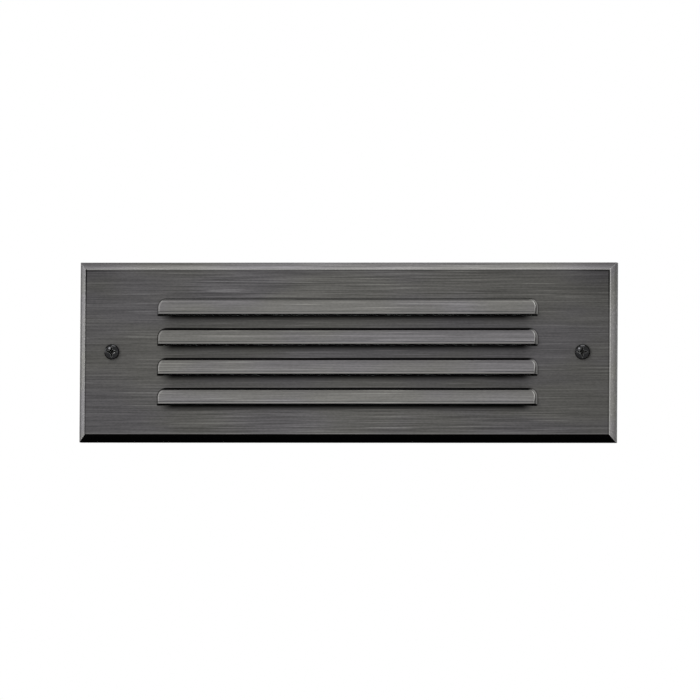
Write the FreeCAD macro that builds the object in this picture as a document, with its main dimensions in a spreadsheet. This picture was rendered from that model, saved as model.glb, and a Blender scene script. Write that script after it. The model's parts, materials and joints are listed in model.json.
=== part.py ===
import FreeCAD, Part
import os
import re

import Sketcher

# A recessed step light: a cast faceplate with four hooded louvers, screwed to a die-cast box that is
# set into a wall. The wall's face is the plane y = 0. The faceplate stands out of it towards -Y and
# the box goes into it towards +Y. X runs along the light and Z is up.

SIZES = (
    ("plate_width", 247.65, "faceplate, left to right"),
    ("plate_height", 82.55, "faceplate, bottom to top"),
    ("plate_depth", 7.5, "faceplate, wall to front face"),
    ("face_thickness", 3.0, "web behind the front face"),
    ("rim_thickness", 3.0, "wall round the rear recess"),
    ("side_bevel", 2.6, "bevel at the left and right, across"),
    ("long_bevel", 3.2, "bevel at the top and bottom, up"),
    ("bevel_depth", 2.85, "every bevel, off the front"),
    ("louver_count", 4, "hooded louvers, one above the other"),
    ("louver_pitch", 13.73, "from one louver to the next"),
    ("louver_margin", 36.475, "end of a hood to the plate's side"),
    ("louver_rise", 6.4, "hood, lip to top edge"),
    ("hood_ledge", 0.55, "how far the hood's top edge stands out"),
    ("hood_reach", 3.8, "how far the lip stands out"),
    ("hood_wall", 1.5, "wall of the hood"),
    ("hood_end_wall", 2.2, "wall at each end of the hood"),
    ("hood_corner", 4.0, "rounding of the hood's top corners"),
    ("hood_draft", 9.0, "degrees by which the hood's sides lean in"),
    ("lip_rounding", 0.35, "rounding along the lip"),
    ("slot_reveal", 1.3, "slot left in view under the lip"),
    ("face_screw_inset", 15.225, "face screw to the plate's side"),
    ("face_screw_hole", 4.4, "clearance hole in the faceplate"),
    ("face_screw_shank", 3.5, "No. 6 machine screw"),
    ("face_screw_length", 19.05, "shank of the face screw"),
    ("face_screw_head", 7.0, "pan head, across"),
    ("face_screw_head_height", 2.5, "pan head, high"),
    ("running_fit", 0.05, "clearance round a screw in its bore"),
    ("flange_gap", 1.0, "flange to the faceplate's rim"),
    ("flange_thickness", 2.0, "flange that lies on the wall"),
    ("flange_corner", 3.0, "rounding of the flange"),
    ("wall_screw_inset", 11.825, "flange hole to the plate's side"),
    ("wall_screw_drop", 13.275, "flange hole to the plate's top or bottom"),
    ("wall_screw_hole", 4.5, "flange hole"),
    ("wall_screw_head_room", 10.0, "hole in the gasket round a wall screw's head"),
    ("gasket_seal", 3.0, "gasket hole round a face screw"),
    ("mouth_inset", 21.625, "box mouth, inside, to the plate's side"),
    ("mouth_drop", 11.075, "box mouth, inside, to the plate's top or bottom"),
    ("mouth_depth", 9.5, "wall face to the lens ledge"),
    ("ledge", 8.2, "step from the mouth in to the body, all round"),
    ("body_depth", 70.0, "wall face to the box's rear wall, inside"),
    ("box_wall", 2.5, "casting wall"),
    ("mouth_corner", 2.5, "inside corner of the mouth"),
    ("body_corner", 5.0, "inside corner of the body"),
    ("screw_boss", 10.0, "boss behind the flange, across"),
    ("screw_boss_length", 14.0, "boss behind the flange, deep"),
    ("gusset_depth", 26.0, "gusset on the box's end, deep"),
    ("gusset_thickness", 3.0, "gusset on the box's end"),
    ("gusset_set_back", 1.0, "tip of the gusset to the boss's end"),
    ("pillar_inset", 3.2, "pillar axis to the mouth's wall"),
    ("pillar_size", 5.2, "corner pillar under the lens frame, square"),
    ("small_shank", 3.0, "M3 screw"),
    ("small_head", 5.5, "M3 pan head, across"),
    ("small_head_height", 2.0, "M3 pan head, high"),
    ("small_clearance", 3.4, "clearance hole for M3"),
    ("frame_screw_length", 9.0, "shank of a lens frame screw"),
    ("frame_boss_length", 8.0, "boss behind the ledge"),
    ("lens_seat", 2.5, "lens on the ledge, each side"),
    ("lens_thickness", 4.0, "glass"),
    ("lens_corner", 2.0, "rounding of the glass's corners"),
    ("lens_edge", 0.6, "ground edge of the glass"),
    ("lens_gasket_thickness", 1.5, "gasket under the glass"),
    ("frame_thickness", 1.5, "sheet of the lens frame"),
    ("frame_gap", 0.5, "lens frame to the mouth's wall"),
    ("frame_lap", 3.5, "lens frame over the glass"),
    ("frame_lip", 1.2, "turned-up lip round the frame's window"),
    ("reflector_gap", 1.6, "reflector to the box's wall"),
    ("reflector_wall", 1.0, "reflector sheet"),
    ("reflector_set_back", 0.5, "reflector's mouth behind the ledge"),
    ("reflector_draft", 18.9, "degrees by which the reflector's walls lean"),
    ("tray_depth", 38.5, "wall face to the gear tray"),
    ("tray_thickness", 2.0, "gear tray"),
    ("tray_gap", 0.6, "gear tray to the box's wall"),
    ("tray_turn", 7.0, "turned edge of the gear tray, deep"),
    ("tray_turn_inset", 28.4, "turned edge to the gear tray's end"),
    ("post_inset", 14.0, "tray post to the body's end, inside"),
    ("post_drop", 3.8, "tray post to the body's top or bottom, inside"),
    ("tray_screw_length", 8.0, "shank of a tray screw"),
    ("post_size", 6.0, "post that carries the tray, square"),
    ("pad_thickness", 0.5, "thermal pad"),
    ("pad_margin", 0.5, "thermal pad inside the board's edge"),
    ("pad_hole", 4.4, "hole in the thermal pad round a board screw"),
    ("board_end_gap", 2.5, "circuit board to the body's end, inside"),
    ("board_height", 20.0, "circuit board"),
    ("board_thickness", 1.6, "circuit board"),
    ("board_screw_inset", 7.0, "board screw to the end of the reflector's foot"),
    ("board_screw_length", 4.9, "shank of a board screw"),
    ("led_count", 9, "light-emitting chips"),
    ("led_pitch", 15.0, "from chip to chip"),
    ("led_size", 3.5, "chip, square"),
    ("led_height", 0.7, "chip, high"),
    ("led_window", 6.4, "hole in the reflector round a chip"),
    ("connector_across", 5.0, "board connector, left to right"),
    ("connector_up", 6.4, "board connector, bottom to top"),
    ("connector_height", 2.6, "board connector, off the board"),
    ("connector_inset", 3.0, "board connector to the board's left end"),
    ("grommet_clearance", 3.6, "grommet's axis below the board's edge"),
    ("grommet_hole", 5.2, "hole in the tray for the grommet"),
    ("grommet_bore", 3.6, "bore of the grommet"),
    ("grommet_flange", 6.6, "grommet, across its flanges"),
    ("grommet_lip", 1.0, "each flange of the grommet"),
    ("lead_size", 1.5, "stranded lead with its sleeve"),
    ("ground_lead_size", 2.0, "ground lead with its sleeve"),
    ("output_spacing", 1.8, "between the two output leads"),
    ("output_gap", 5.5, "output leads behind the tray"),
    ("driver_inset", 64.0, "driver's middle to the body's left end, inside"),
    ("driver_width", 72.0, "driver case, left to right"),
    ("driver_height", 34.0, "driver case, bottom to top"),
    ("driver_depth", 20.0, "driver case, off the tray"),
    ("driver_corner", 2.0, "rounding of the driver case"),
    ("driver_ear", 7.0, "fixing ear at each end of the driver"),
    ("driver_ear_width", 12.0, "fixing ear, bottom to top"),
    ("driver_ear_thickness", 2.0, "fixing ear"),
    ("driver_screw_length", 3.8, "shank of a driver screw"),
    ("block_gap", 1.0, "driver's ear to the terminal block"),
    ("pole_pitch", 8.5, "from pole to pole"),
    ("pole_count", 3, "live, neutral and ground"),
    ("block_end", 1.25, "block beyond its outer poles"),
    ("block_up", 12.0, "terminal block, bottom to top"),
    ("block_depth", 14.0, "terminal block, off the tray"),
    ("wire_entry", 3.2, "wire hole in the terminal block"),
    ("wire_entry_gap", 6.5, "wire holes behind the tray"),
    ("wire_entry_length", 4.0, "wire hole, deep"),
    ("wire_insertion", 1.5, "lead inside its wire hole"),
    ("terminal_screw", 4.0, "terminal screw, across"),
    ("terminal_screw_height", 2.5, "terminal screw, high"),
    ("terminal_well", 4.0, "well of a terminal screw, deep"),
    ("counterbore", 5.9, "well of a block screw, across"),
    ("terminal_spread", 3.0, "terminal screw from the block's middle"),
    ("block_screw_length", 11.8, "shank of a block screw"),
    ("live_drop", 12.0, "live supply lead below the middle"),
    ("neutral_drop", 15.5, "neutral supply lead below the middle"),
    ("ground_inset", 40.0, "ground boss to the body's right end, inside"),
    ("ground_rise", 4.0, "ground boss above the body's floor, inside"),
    ("ground_boss", 8.0, "ground boss, across"),
    ("ground_boss_height", 8.0, "ground boss, off the rear wall"),
    ("ground_screw_length", 7.5, "shank of the ground screw"),
    ("lug_thickness", 0.8, "ring lug"),
    ("lug_ring", 7.0, "ring of the lug, across"),
    ("lug_neck", 3.0, "neck of the lug, across"),
    ("lug_lap", 1.0, "neck of the lug under its barrel"),
    ("lug_reach", 9.0, "ring's middle to the far end of the barrel"),
    ("lug_barrel", 3.4, "barrel of the lug, across"),
    ("lug_barrel_length", 5.0, "barrel of the lug, long"),
    ("conduit_bore", 19.8, "conduit entry, plain bore"),
    ("conduit_boss", 27.0, "hub round a conduit entry"),
    ("conduit_hub_length", 12.0, "hub with its wall, deep"),
    ("side_entry_gap", 13.0, "side entries in front of the rear wall's inside"),
    ("rear_entry_inset", 34.0, "rear entry to the body's right end, inside"),
    ("plug_head", 26.0, "closing plug, across its head"),
    ("plug_head_height", 3.0, "closing plug, head"),
    ("plug_length", 10.0, "closing plug, in its bore"),
    ("plug_wall", 2.5, "closing plug, wall"),
    ("plug_slot", 3.0, "slot across the plug's head"),
    ("plug_slot_length", 15.6, "slot across the plug's head, long"),
    ("plug_slot_depth", 1.6, "slot across the plug's head, deep"),
    ("recess_arm", 4.0, "cross recess, tip to tip, on a face screw"),
    ("recess_width", 0.9, "cross recess, arm"),
    ("recess_depth", 1.3, "cross recess, deep"),
    ("rim_share", 0.4, "share of a pan head's height that is its rim"),
    ("shoulder_share", 0.84, "share of a pan head's width at its shoulder"),
    ("shoulder_rise", 0.8, "share of a pan head's height at its shoulder"),
    ("crown_share", 0.5, "share of a pan head's width that is flat on top"),
)

WORKED_OUT = {
    "plate_recess": "plate_depth - face_thickness",
    "louver_width": "plate_width - 2 * louver_margin",
    "louver_top": "((louver_count - 1) * louver_pitch + louver_rise + slot_reveal) / 2",
    "louver_lip": "louver_top - louver_rise",
    "slot_bottom": "louver_lip - slot_reveal",
    "hood_slope": "(hood_reach - hood_ledge) / louver_rise",
    "wall_along_y": "hood_wall * sqrt(1 + hood_slope * hood_slope)",
    "slot_top": "louver_top - hood_wall",
    "slope_at_slot_top": "-plate_depth - hood_ledge - hood_slope * hood_wall + wall_along_y",
    "slope_at_lip": "-plate_depth - hood_reach + wall_along_y",
    "flange_width": "plate_width - 2 * rim_thickness - 2 * flange_gap",
    "flange_height": "plate_height - 2 * rim_thickness - 2 * flange_gap",
    "face_screw_x": "plate_width / 2 - face_screw_inset",
    "wall_screw_x": "plate_width / 2 - wall_screw_inset",
    "wall_screw_z": "plate_height / 2 - wall_screw_drop",
    "mouth_width": "plate_width - 2 * mouth_inset",
    "mouth_height": "plate_height - 2 * mouth_drop",
    "body_width": "mouth_width - 2 * ledge",
    "body_height": "mouth_height - 2 * ledge",
    "bore_for_face_screw": "face_screw_shank / 2 + running_fit",
    "bore_for_small_screw": "small_shank / 2 + running_fit",
    "lens_width": "body_width + 2 * lens_seat",
    "lens_height": "body_height + 2 * lens_seat",
    "lens_front": "mouth_depth - lens_gasket_thickness - lens_thickness",
    "frame_front": "lens_front - frame_thickness",
    "pillar_x": "mouth_width / 2 - pillar_inset",
    "pillar_z": "mouth_height / 2 - pillar_inset",
    "board_front": "tray_depth - pad_thickness - board_thickness",
    "board_width": "body_width - 2 * board_end_gap",
    "reflector_floor": "board_front - reflector_wall",
    "reflector_lean": "(board_front - reflector_mouth) * tan(reflector_draft * 1 deg)",
    "reflector_mouth_width": "body_width - 2 * reflector_gap",
    "reflector_mouth_height": "body_height - 2 * reflector_gap",
    "reflector_floor_width": "reflector_mouth_width - 2 * reflector_lean",
    "board_screw_x": "reflector_floor_width / 2 - board_screw_inset",
    "reflector_mouth": "mouth_depth - reflector_set_back",
    "tray_width": "body_width - 2 * tray_gap",
    "tray_height": "body_height - 2 * tray_gap",
    "tray_rear": "tray_depth + tray_thickness",
    "post_x": "body_width / 2 - post_inset",
    "post_z": "body_height / 2 - post_drop",
    "connector_place": "connector_inset - board_width / 2",
    "grommet_drop": "board_height / 2 + grommet_clearance",
    "output_depth": "tray_rear + output_gap",
    "driver_place": "driver_inset - body_width / 2",
    "driver_right": "driver_place + driver_width / 2",
    "driver_left": "driver_place - driver_width / 2",
    "driver_screw_reach": "driver_width / 2 + driver_ear / 2",
    "ear_rear": "tray_rear + driver_ear_thickness",
    "block_width": "pole_count * pole_pitch + 2 * block_end",
    "block_place": "driver_right + driver_ear + block_gap + block_width / 2",
    "block_rear": "tray_rear + block_depth",
    "wire_entry_depth": "tray_rear + wire_entry_gap",
    "block_screw_reach": "pole_pitch / 2",
    "block_screw_seat": "block_rear - terminal_well",
    "ground_place": "body_width / 2 - ground_inset",
    "ground_drop": "body_height / 2 - ground_rise",
    "ground_seat": "body_depth - ground_boss_height",
    "lug_front": "ground_seat - lug_thickness",
    "box_end": "body_width / 2 + box_wall",
    "hub_inner": "box_end - conduit_hub_length",
    "side_entry_depth": "body_depth - side_entry_gap",
    "rear_entry_place": "body_width / 2 - rear_entry_inset",
}

# The plane that each kind of sketch lies on, and the direction that it faces.
PLANES = {"front": ("XZ_Plane", "out"), "side": ("YZ_Plane", "right"), "top": ("XY_Plane", "up")}
OPPOSITE = {"out": "in", "right": "left", "up": "down"}
BOTH_SIDES = ("", "-")

doc = FreeCAD.newDocument("StepLight")
sheet = doc.addObject("Spreadsheet::Sheet", "Sizes")
for row, (alias, size, note) in enumerate(SIZES, start=1):
    sheet.set(f"A{row}", alias)
    sheet.set(f"B{row}", str(size))
    sheet.set(f"C{row}", note)
    sheet.setAlias(f"B{row}", alias)
doc.recompute()

ALIASES = {alias for alias, _, _ in SIZES}
nodes = {}
facing = {}


def formula(text):
    """Spell out a formula on the names above in the sheet's own cells."""

    def spelled(match):
        word = match.group()
        if word in WORKED_OUT:
            return f"({formula(WORKED_OUT[word])})"
        return f"Sizes.{word}" if word in ALIASES else word

    return re.sub(r"[a-z][a-z_]*", spelled, str(text))


def number(text):
    """The value of a formula in millimetres."""
    found = sheet.evalExpression(formula(text))
    return float(getattr(found, "Value", found))


def point(x, y, z):
    return FreeCAD.Vector(number(x), number(y), number(z))


def keep(name, thing):
    """Give a finished piece its name and list it as a node."""
    thing.Label = name
    nodes[name] = thing
    return thing


# Sketches


def new_body(name):
    return doc.addObject("PartDesign::Body", f"{name}_body")


def new_sketch(body, name, plane="front", offset="0"):
    """A sketch on a plane of the body's origin, moved along that plane's own normal."""
    sketch = body.newObject("Sketcher::SketchObject", f"{body.Name}_{name}")
    role, facing[sketch.Name] = PLANES[plane]
    support = next(part for part in body.Origin.OriginFeatures if part.Role == role)
    sketch.AttachmentSupport = (support, "")
    sketch.MapMode = "FlatFace"
    sketch.setExpression("AttachmentOffset.Base.z", formula(offset))
    return sketch


def drive(sketch, constraint, text):
    index = sketch.addConstraint(constraint)
    sketch.setExpression(f"Constraints[{index}]", formula(text))


def pin(sketch, geometry, vertex, across, along):
    for kind, text in (("DistanceX", across), ("DistanceY", along)):
        value = number(text)
        drive(sketch, Sketcher.Constraint(kind, -1, 1, geometry, vertex, value), text)


def flat(across, along):
    return FreeCAD.Vector(number(across), number(along), 0)


def polygon(sketch, corners):
    """A closed outline through the corners, each one given by two formulas."""
    places = [flat(across, along) for across, along in corners]
    first = sketch.GeometryCount
    for here, there in zip(places, places[1:] + places[:1]):
        sketch.addGeometry(Part.LineSegment(here, there))
    count = len(corners)
    for index in range(count):
        follower = first + (index + 1) % count
        sketch.addConstraint(Sketcher.Constraint("Coincident", first + index, 2, follower, 1))
    for index, (across, along) in enumerate(corners):
        pin(sketch, first + index, 1, across, along)


def rectangle(sketch, width, height, x="0", z="0"):
    left, right = f"{x} - ({width}) / 2", f"{x} + ({width}) / 2"
    low, high = f"{z} - ({height}) / 2", f"{z} + ({height}) / 2"
    polygon(sketch, [(left, low), (right, low), (right, high), (left, high)])


def prism(sketch, sides, across, x="0", z="0"):
    """A regular outline of so many sides, measured across its corners."""
    corners = []
    for index in range(sides):
        angle = f"{index} * 360 deg / {sides}"
        corner = (f"{x} + ({across}) / 2 * cos({angle})", f"{z} + ({across}) / 2 * sin({angle})")
        corners.append(corner)
    polygon(sketch, corners)


def circle(sketch, diameter, x="0", z="0"):
    ring = Part.Circle(flat(x, z), FreeCAD.Vector(0, 0, 1), number(diameter) / 2)
    index = sketch.addGeometry(ring)
    radius = f"({diameter}) / 2"
    drive(sketch, Sketcher.Constraint("Radius", index, number(radius)), radius)
    pin(sketch, index, 3, x, z)


def rounded(sketch, width, height, radius, x="0", z="0", corners="all"):
    """A rectangle with arcs of one radius at all its corners, or at its two top corners."""
    left, right = f"{x} - ({width}) / 2", f"{x} + ({width}) / 2"
    low, high = f"{z} - ({height}) / 2", f"{z} + ({height}) / 2"
    x0, x1, z0, z1, r = (number(text) for text in (left, right, low, high, radius))
    lower_r = r if corners == "all" else 0
    rim = [
        ((x0 + lower_r, z0), (x1 - lower_r, z0), (x1 - lower_r, z0 + lower_r), -90),
        ((x1, z0 + lower_r), (x1, z1 - r), (x1 - r, z1 - r), 0),
        ((x1 - r, z1), (x0 + r, z1), (x0 + r, z1 - r), 90),
        ((x0, z1 - r), (x0, z0 + lower_r), (x0 + lower_r, z0 + lower_r), 180),
    ]
    chain, lines, arcs = [], [], []
    for side, (start, end, centre, angle) in enumerate(rim):
        line = Part.LineSegment(FreeCAD.Vector(*start, 0), FreeCAD.Vector(*end, 0))
        lines.append(sketch.addGeometry(line))
        chain.append(lines[-1])
        if corners == "all" or side in (1, 2):
            middle = FreeCAD.Vector(*centre, 0)
            ring = Part.Circle(middle, FreeCAD.Vector(0, 0, 1), r)
            from_angle = FreeCAD.Units.Quantity(f"{angle} deg").getValueAs("rad").Value
            to_angle = FreeCAD.Units.Quantity(f"{angle + 90} deg").getValueAs("rad").Value
            arcs.append(sketch.addGeometry(Part.ArcOfCircle(ring, from_angle, to_angle)))
            chain.append(arcs[-1])
    for here, there in zip(chain, chain[1:] + chain[:1]):
        kind = "Coincident" if here in lines and there in lines else "Tangent"
        sketch.addConstraint(Sketcher.Constraint(kind, here, 2, there, 1))
    for index, kind in zip(lines, ("Horizontal", "Vertical", "Horizontal", "Vertical")):
        sketch.addConstraint(Sketcher.Constraint(kind, index))
    for other in arcs[1:]:
        sketch.addConstraint(Sketcher.Constraint("Equal", arcs[0], other))
    drive(sketch, Sketcher.Constraint("Radius", arcs[0], r), radius)
    edges = (("DistanceY", 0, z0, low), ("DistanceX", 1, x1, right))
    edges += (("DistanceY", 2, z1, high), ("DistanceX", 3, x0, left))
    for kind, side, value, text in edges:
        drive(sketch, Sketcher.Constraint(kind, -1, 1, lines[side], 1, value), text)


# Features


def check(feature):
    doc.recompute()
    failed = {"Invalid", "Error"} & set(feature.State)
    if failed or feature.Shape.isNull() or not feature.Shape.isValid():
        raise RuntimeError(f"{feature.Name} failed")
    return feature


def extrude(sketch, kind, length, towards):
    body = sketch.getParentGeoFeatureGroup()
    feature = body.newObject(f"PartDesign::{kind}", f"{sketch.Name}_{kind.lower()}")
    feature.Profile = sketch
    feature.setExpression("Length", formula(length))
    forwards = facing[sketch.Name]
    if towards == "both":
        feature.SideType = "Symmetric"
    elif towards in (forwards, OPPOSITE[forwards]):
        adds = kind == "Pad"
        feature.Reversed = adds == (towards != forwards)
    else:
        raise ValueError(f"{sketch.Name} can't go {towards}")
    return feature


def pad(sketch, length, towards):
    return check(extrude(sketch, "Pad", length, towards))


def cut(sketch, length, towards):
    """A pocket, which has to take something away."""
    body = sketch.getParentGeoFeatureGroup()
    before = body.Shape.Volume
    feature = check(extrude(sketch, "Pocket", length, towards))
    if feature.Shape.Volume > before - 1e-3:
        raise RuntimeError(f"{feature.Name} cuts nothing")
    return feature


def revolve(sketch, axis="V_Axis"):
    body = sketch.getParentGeoFeatureGroup()
    feature = body.newObject("PartDesign::Revolution", f"{sketch.Name}_revolution")
    feature.Profile = sketch
    feature.ReferenceAxis = (sketch, [axis])
    feature.Angle = 360
    return check(feature)


def edges_where(feature, test):
    """Names of the feature's edges whose ends and middle all pass a test."""
    named = enumerate(feature.Shape.Edges, start=1)
    chosen = []
    for index, edge in named:
        middle = edge.valueAt((edge.FirstParameter + edge.LastParameter) / 2)
        if all(test(place) for place in [vertex.Point for vertex in edge.Vertexes] + [middle]):
            chosen.append(f"Edge{index}")
    return chosen


def slope_sides(body, name, width, height, start, end, across, up):
    """Slope a block's left and right by one inset and its top and bottom by another, between two depths."""
    for plane, span, inset, run in (("top", width, across, height), ("side", height, up, width)):
        wedges = new_sketch(body, f"{name}_{plane}", plane=plane)
        for side in BOTH_SIDES:
            edge = f"{side}({span}) / 2"
            foot = f"{side}(({span}) / 2 - {inset})"
            corners = [(edge, start), (edge, end), (foot, end)]
            if plane == "side":
                corners = [(depth, place) for place, depth in corners]
            polygon(wedges, corners)
        sloped = cut(wedges, run, "both")
    return sloped


def dress(kind, base, edges, size):
    """A fillet or a chamfer of one size along the named edges."""
    body = base.getParentGeoFeatureGroup()
    feature = body.newObject(f"PartDesign::{kind}", f"{base.Name}_{kind.lower()}")
    feature.Base = (base, edges)
    feature.setExpression("Radius" if kind == "Fillet" else "Size", formula(size))
    return check(feature)


def copies(name, original, places, turn=None):
    """A group of separate solids: the same piece at each place."""
    links = []
    for index, place in enumerate(places, start=1):
        link = doc.addObject("App::Link", f"{name}_{index}")
        link.LinkedObject = original
        if turn:
            link.Placement = FreeCAD.Placement(FreeCAD.Vector(), turn)
        for axis, text in zip("xyz", place):
            link.setExpression(f"Placement.Base.{axis}", formula(text))
        links.append(link)
    group = doc.addObject("Part::Compound", f"{name}_group")
    group.Links = links
    return keep(name, check(group))


def four_corners(across, up):
    signs = ((1, 1), (-1, 1), (-1, -1), (1, -1))
    return [(f"{a} * ({across})", f"{b} * ({up})") for a, b in signs]


# Faceplate: the louvers are the skilled part. Each is a drafted pad with rounded top corners whose
# front is cut to a slope and whose underside is cut flat, hollowed from behind so that its slot
# opens downwards, and then repeated down the plate.


def make_faceplate():
    body = new_body("faceplate")
    outline = new_sketch(body, "outline")
    outer = ("plate_width", "plate_height")
    rectangle(outline, *outer)
    pad(outline, "plate_depth", "out")
    depths = ("bevel_depth - plate_depth", "-plate_depth")
    slope_sides(body, "bevels", *outer, *depths, "side_bevel", "long_bevel")

    recess = new_sketch(body, "recess")
    rectangle(recess, "plate_width - 2 * rim_thickness", "plate_height - 2 * rim_thickness")
    cut(recess, "plate_recess", "out")

    hood = new_sketch(body, "hood", offset="plate_depth")
    hood_height = "louver_rise + slot_reveal"
    middle = "(louver_top + slot_bottom) / 2"
    rounded(hood, "louver_width", hood_height, "hood_corner", z=middle, corners="top")
    hood_pad = extrude(hood, "Pad", "hood_reach", "out")
    hood_pad.setExpression("TaperAngle", formula("-hood_draft"))
    check(hood_pad)

    slope = new_sketch(body, "slope", plane="side")
    far = "-plate_depth - 2 * hood_reach"
    above = "louver_top + hood_ledge"
    polygon(
        slope,
        [
            ("-plate_depth - hood_ledge", "louver_top"),
            ("-plate_depth - hood_reach", "louver_lip"),
            ("-plate_depth", "louver_lip"),
            ("-plate_depth", "slot_bottom - hood_ledge"),
            (far, "slot_bottom - hood_ledge"),
            (far, above),
            ("-plate_depth - hood_ledge", above),
        ],
    )
    slope_cut = cut(slope, "plate_width", "both")

    hollow = new_sketch(body, "hollow", plane="side")
    behind = "-plate_recess + face_thickness / 2"
    polygon(
        hollow,
        [
            (behind, "slot_bottom"),
            (behind, "slot_top"),
            ("slope_at_slot_top", "slot_top"),
            ("slope_at_lip", "louver_lip"),
            ("slope_at_lip", "slot_bottom"),
        ],
    )
    hollow_cut = cut(hollow, "louver_width - 2 * hood_end_wall", "both")

    rows = body.newObject("PartDesign::LinearPattern", "louver_rows")
    rows.Originals = [hood_pad, slope_cut, hollow_cut]
    rows.Direction = (slope, ["V_Axis"])
    rows.Reversed = True
    rows.setExpression("Length", formula("(louver_count - 1) * louver_pitch"))
    rows.setExpression("Occurrences", formula("louver_count"))
    body.Tip = rows
    check(rows)

    lip = -number("plate_depth + hood_reach")
    lip_edges = edges_where(rows, lambda place: abs(place.y - lip) < 1e-6)
    dress("Fillet", rows, lip_edges, "lip_rounding")

    holes = new_sketch(body, "screw_holes")
    for side in BOTH_SIDES:
        circle(holes, "face_screw_hole", x=f"{side}face_screw_x")
    cut(holes, "plate_depth", "out")
    keep("faceplate", body)


def make_faceplate_gasket():
    body = new_body("faceplate_gasket")
    ring = new_sketch(body, "ring", offset="flange_thickness")
    rounded(ring, "flange_width", "flange_height", "flange_corner")
    rounded(ring, "mouth_width", "mouth_height", "mouth_corner")
    for side in BOTH_SIDES:
        circle(ring, "face_screw_shank + gasket_seal", x=f"{side}face_screw_x")
    for x, z in four_corners("wall_screw_x", "wall_screw_z"):
        circle(ring, "wall_screw_head_room", x, z)
    pad(ring, "plate_recess - flange_thickness", "out")
    keep("faceplate_gasket", body)


# Back box: one casting, with its flange on the wall, a wide mouth with the lens ledge, a narrower
# body behind it, and the bosses, posts and hubs that everything else is screwed to.


def make_back_box():
    body = new_body("back_box")
    flange = new_sketch(body, "flange")
    rounded(flange, "flange_width", "flange_height", "flange_corner")
    pad(flange, "flange_thickness", "out")

    mouth = new_sketch(body, "mouth")
    corner = "mouth_corner + box_wall"
    rounded(mouth, "mouth_width + 2 * box_wall", "mouth_height + 2 * box_wall", corner)
    pad(mouth, "mouth_depth + box_wall", "in")

    shell = new_sketch(body, "shell")
    corner = "body_corner + box_wall"
    rounded(shell, "body_width + 2 * box_wall", "body_height + 2 * box_wall", corner)
    pad(shell, "body_depth + box_wall", "in")

    bosses = new_sketch(body, "bosses")
    for side in BOTH_SIDES:
        circle(bosses, "screw_boss", x=f"{side}face_screw_x")
    pad(bosses, "screw_boss_length", "in")

    gussets = new_sketch(body, "gussets", plane="top")
    tip_depth = "screw_boss_length - gusset_set_back"
    for side in BOTH_SIDES:
        root, tip = f"{side}(body_width + box_wall) / 2", f"{side}face_screw_x"
        polygon(gussets, [(root, "box_wall"), (tip, "box_wall"), (tip, tip_depth), (root, "gusset_depth")])
    pad(gussets, "gusset_thickness", "both")

    nubs = new_sketch(body, "frame_bosses")
    for x, z in four_corners("pillar_x", "pillar_z"):
        rectangle(nubs, "pillar_size", "pillar_size", x, z)
    pad(nubs, "mouth_depth + box_wall + frame_boss_length", "in")

    opening = new_sketch(body, "opening", offset="flange_thickness")
    rounded(opening, "mouth_width", "mouth_height", "mouth_corner")
    cut(opening, "mouth_depth + flange_thickness", "in")

    cavity = new_sketch(body, "cavity")
    rounded(cavity, "body_width", "body_height", "body_corner")
    cut(cavity, "body_depth", "in")

    # Pillars and posts run on into the wall beside them, as castings do.
    pillars = new_sketch(body, "pillars", offset="-(mouth_depth + box_wall / 2)")
    width = "pillar_inset + (pillar_size + box_wall) / 2"
    middles = [f"({inside} + box_wall - ({width})) / 2" for inside in ("mouth_width", "mouth_height")]
    for x, z in four_corners(*middles):
        rectangle(pillars, width, width, x, z)
    pad(pillars, "mouth_depth + box_wall / 2 - lens_front", "out")

    posts = new_sketch(body, "posts", offset="-(body_depth + box_wall / 2)")
    height = "post_drop + (post_size + box_wall) / 2"
    for x, z in four_corners("post_x", f"(body_height + box_wall - ({height})) / 2"):
        rectangle(posts, "post_size", height, x, z)
    pad(posts, "body_depth + box_wall / 2 - tray_rear", "out")

    ground = new_sketch(body, "ground_boss", offset="-(body_depth + box_wall / 2)")
    circle(ground, "ground_boss", x="ground_place", z="-ground_drop")
    pad(ground, "ground_boss_height + box_wall / 2", "out")

    rear_hub = new_sketch(body, "rear_hub", offset="-(body_depth + box_wall)")
    circle(rear_hub, "conduit_boss", x="rear_entry_place")
    pad(rear_hub, "conduit_hub_length", "out")

    for outwards, sign in (("right", ""), ("left", "-")):
        hub = new_sketch(body, f"hub_{outwards}", plane="side", offset=f"{sign}hub_inner")
        circle(hub, "conduit_boss", x="side_entry_depth")
        pad(hub, "conduit_hub_length - box_wall / 2", outwards)

    bore_back_box(body)
    keep("back_box", body)


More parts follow.
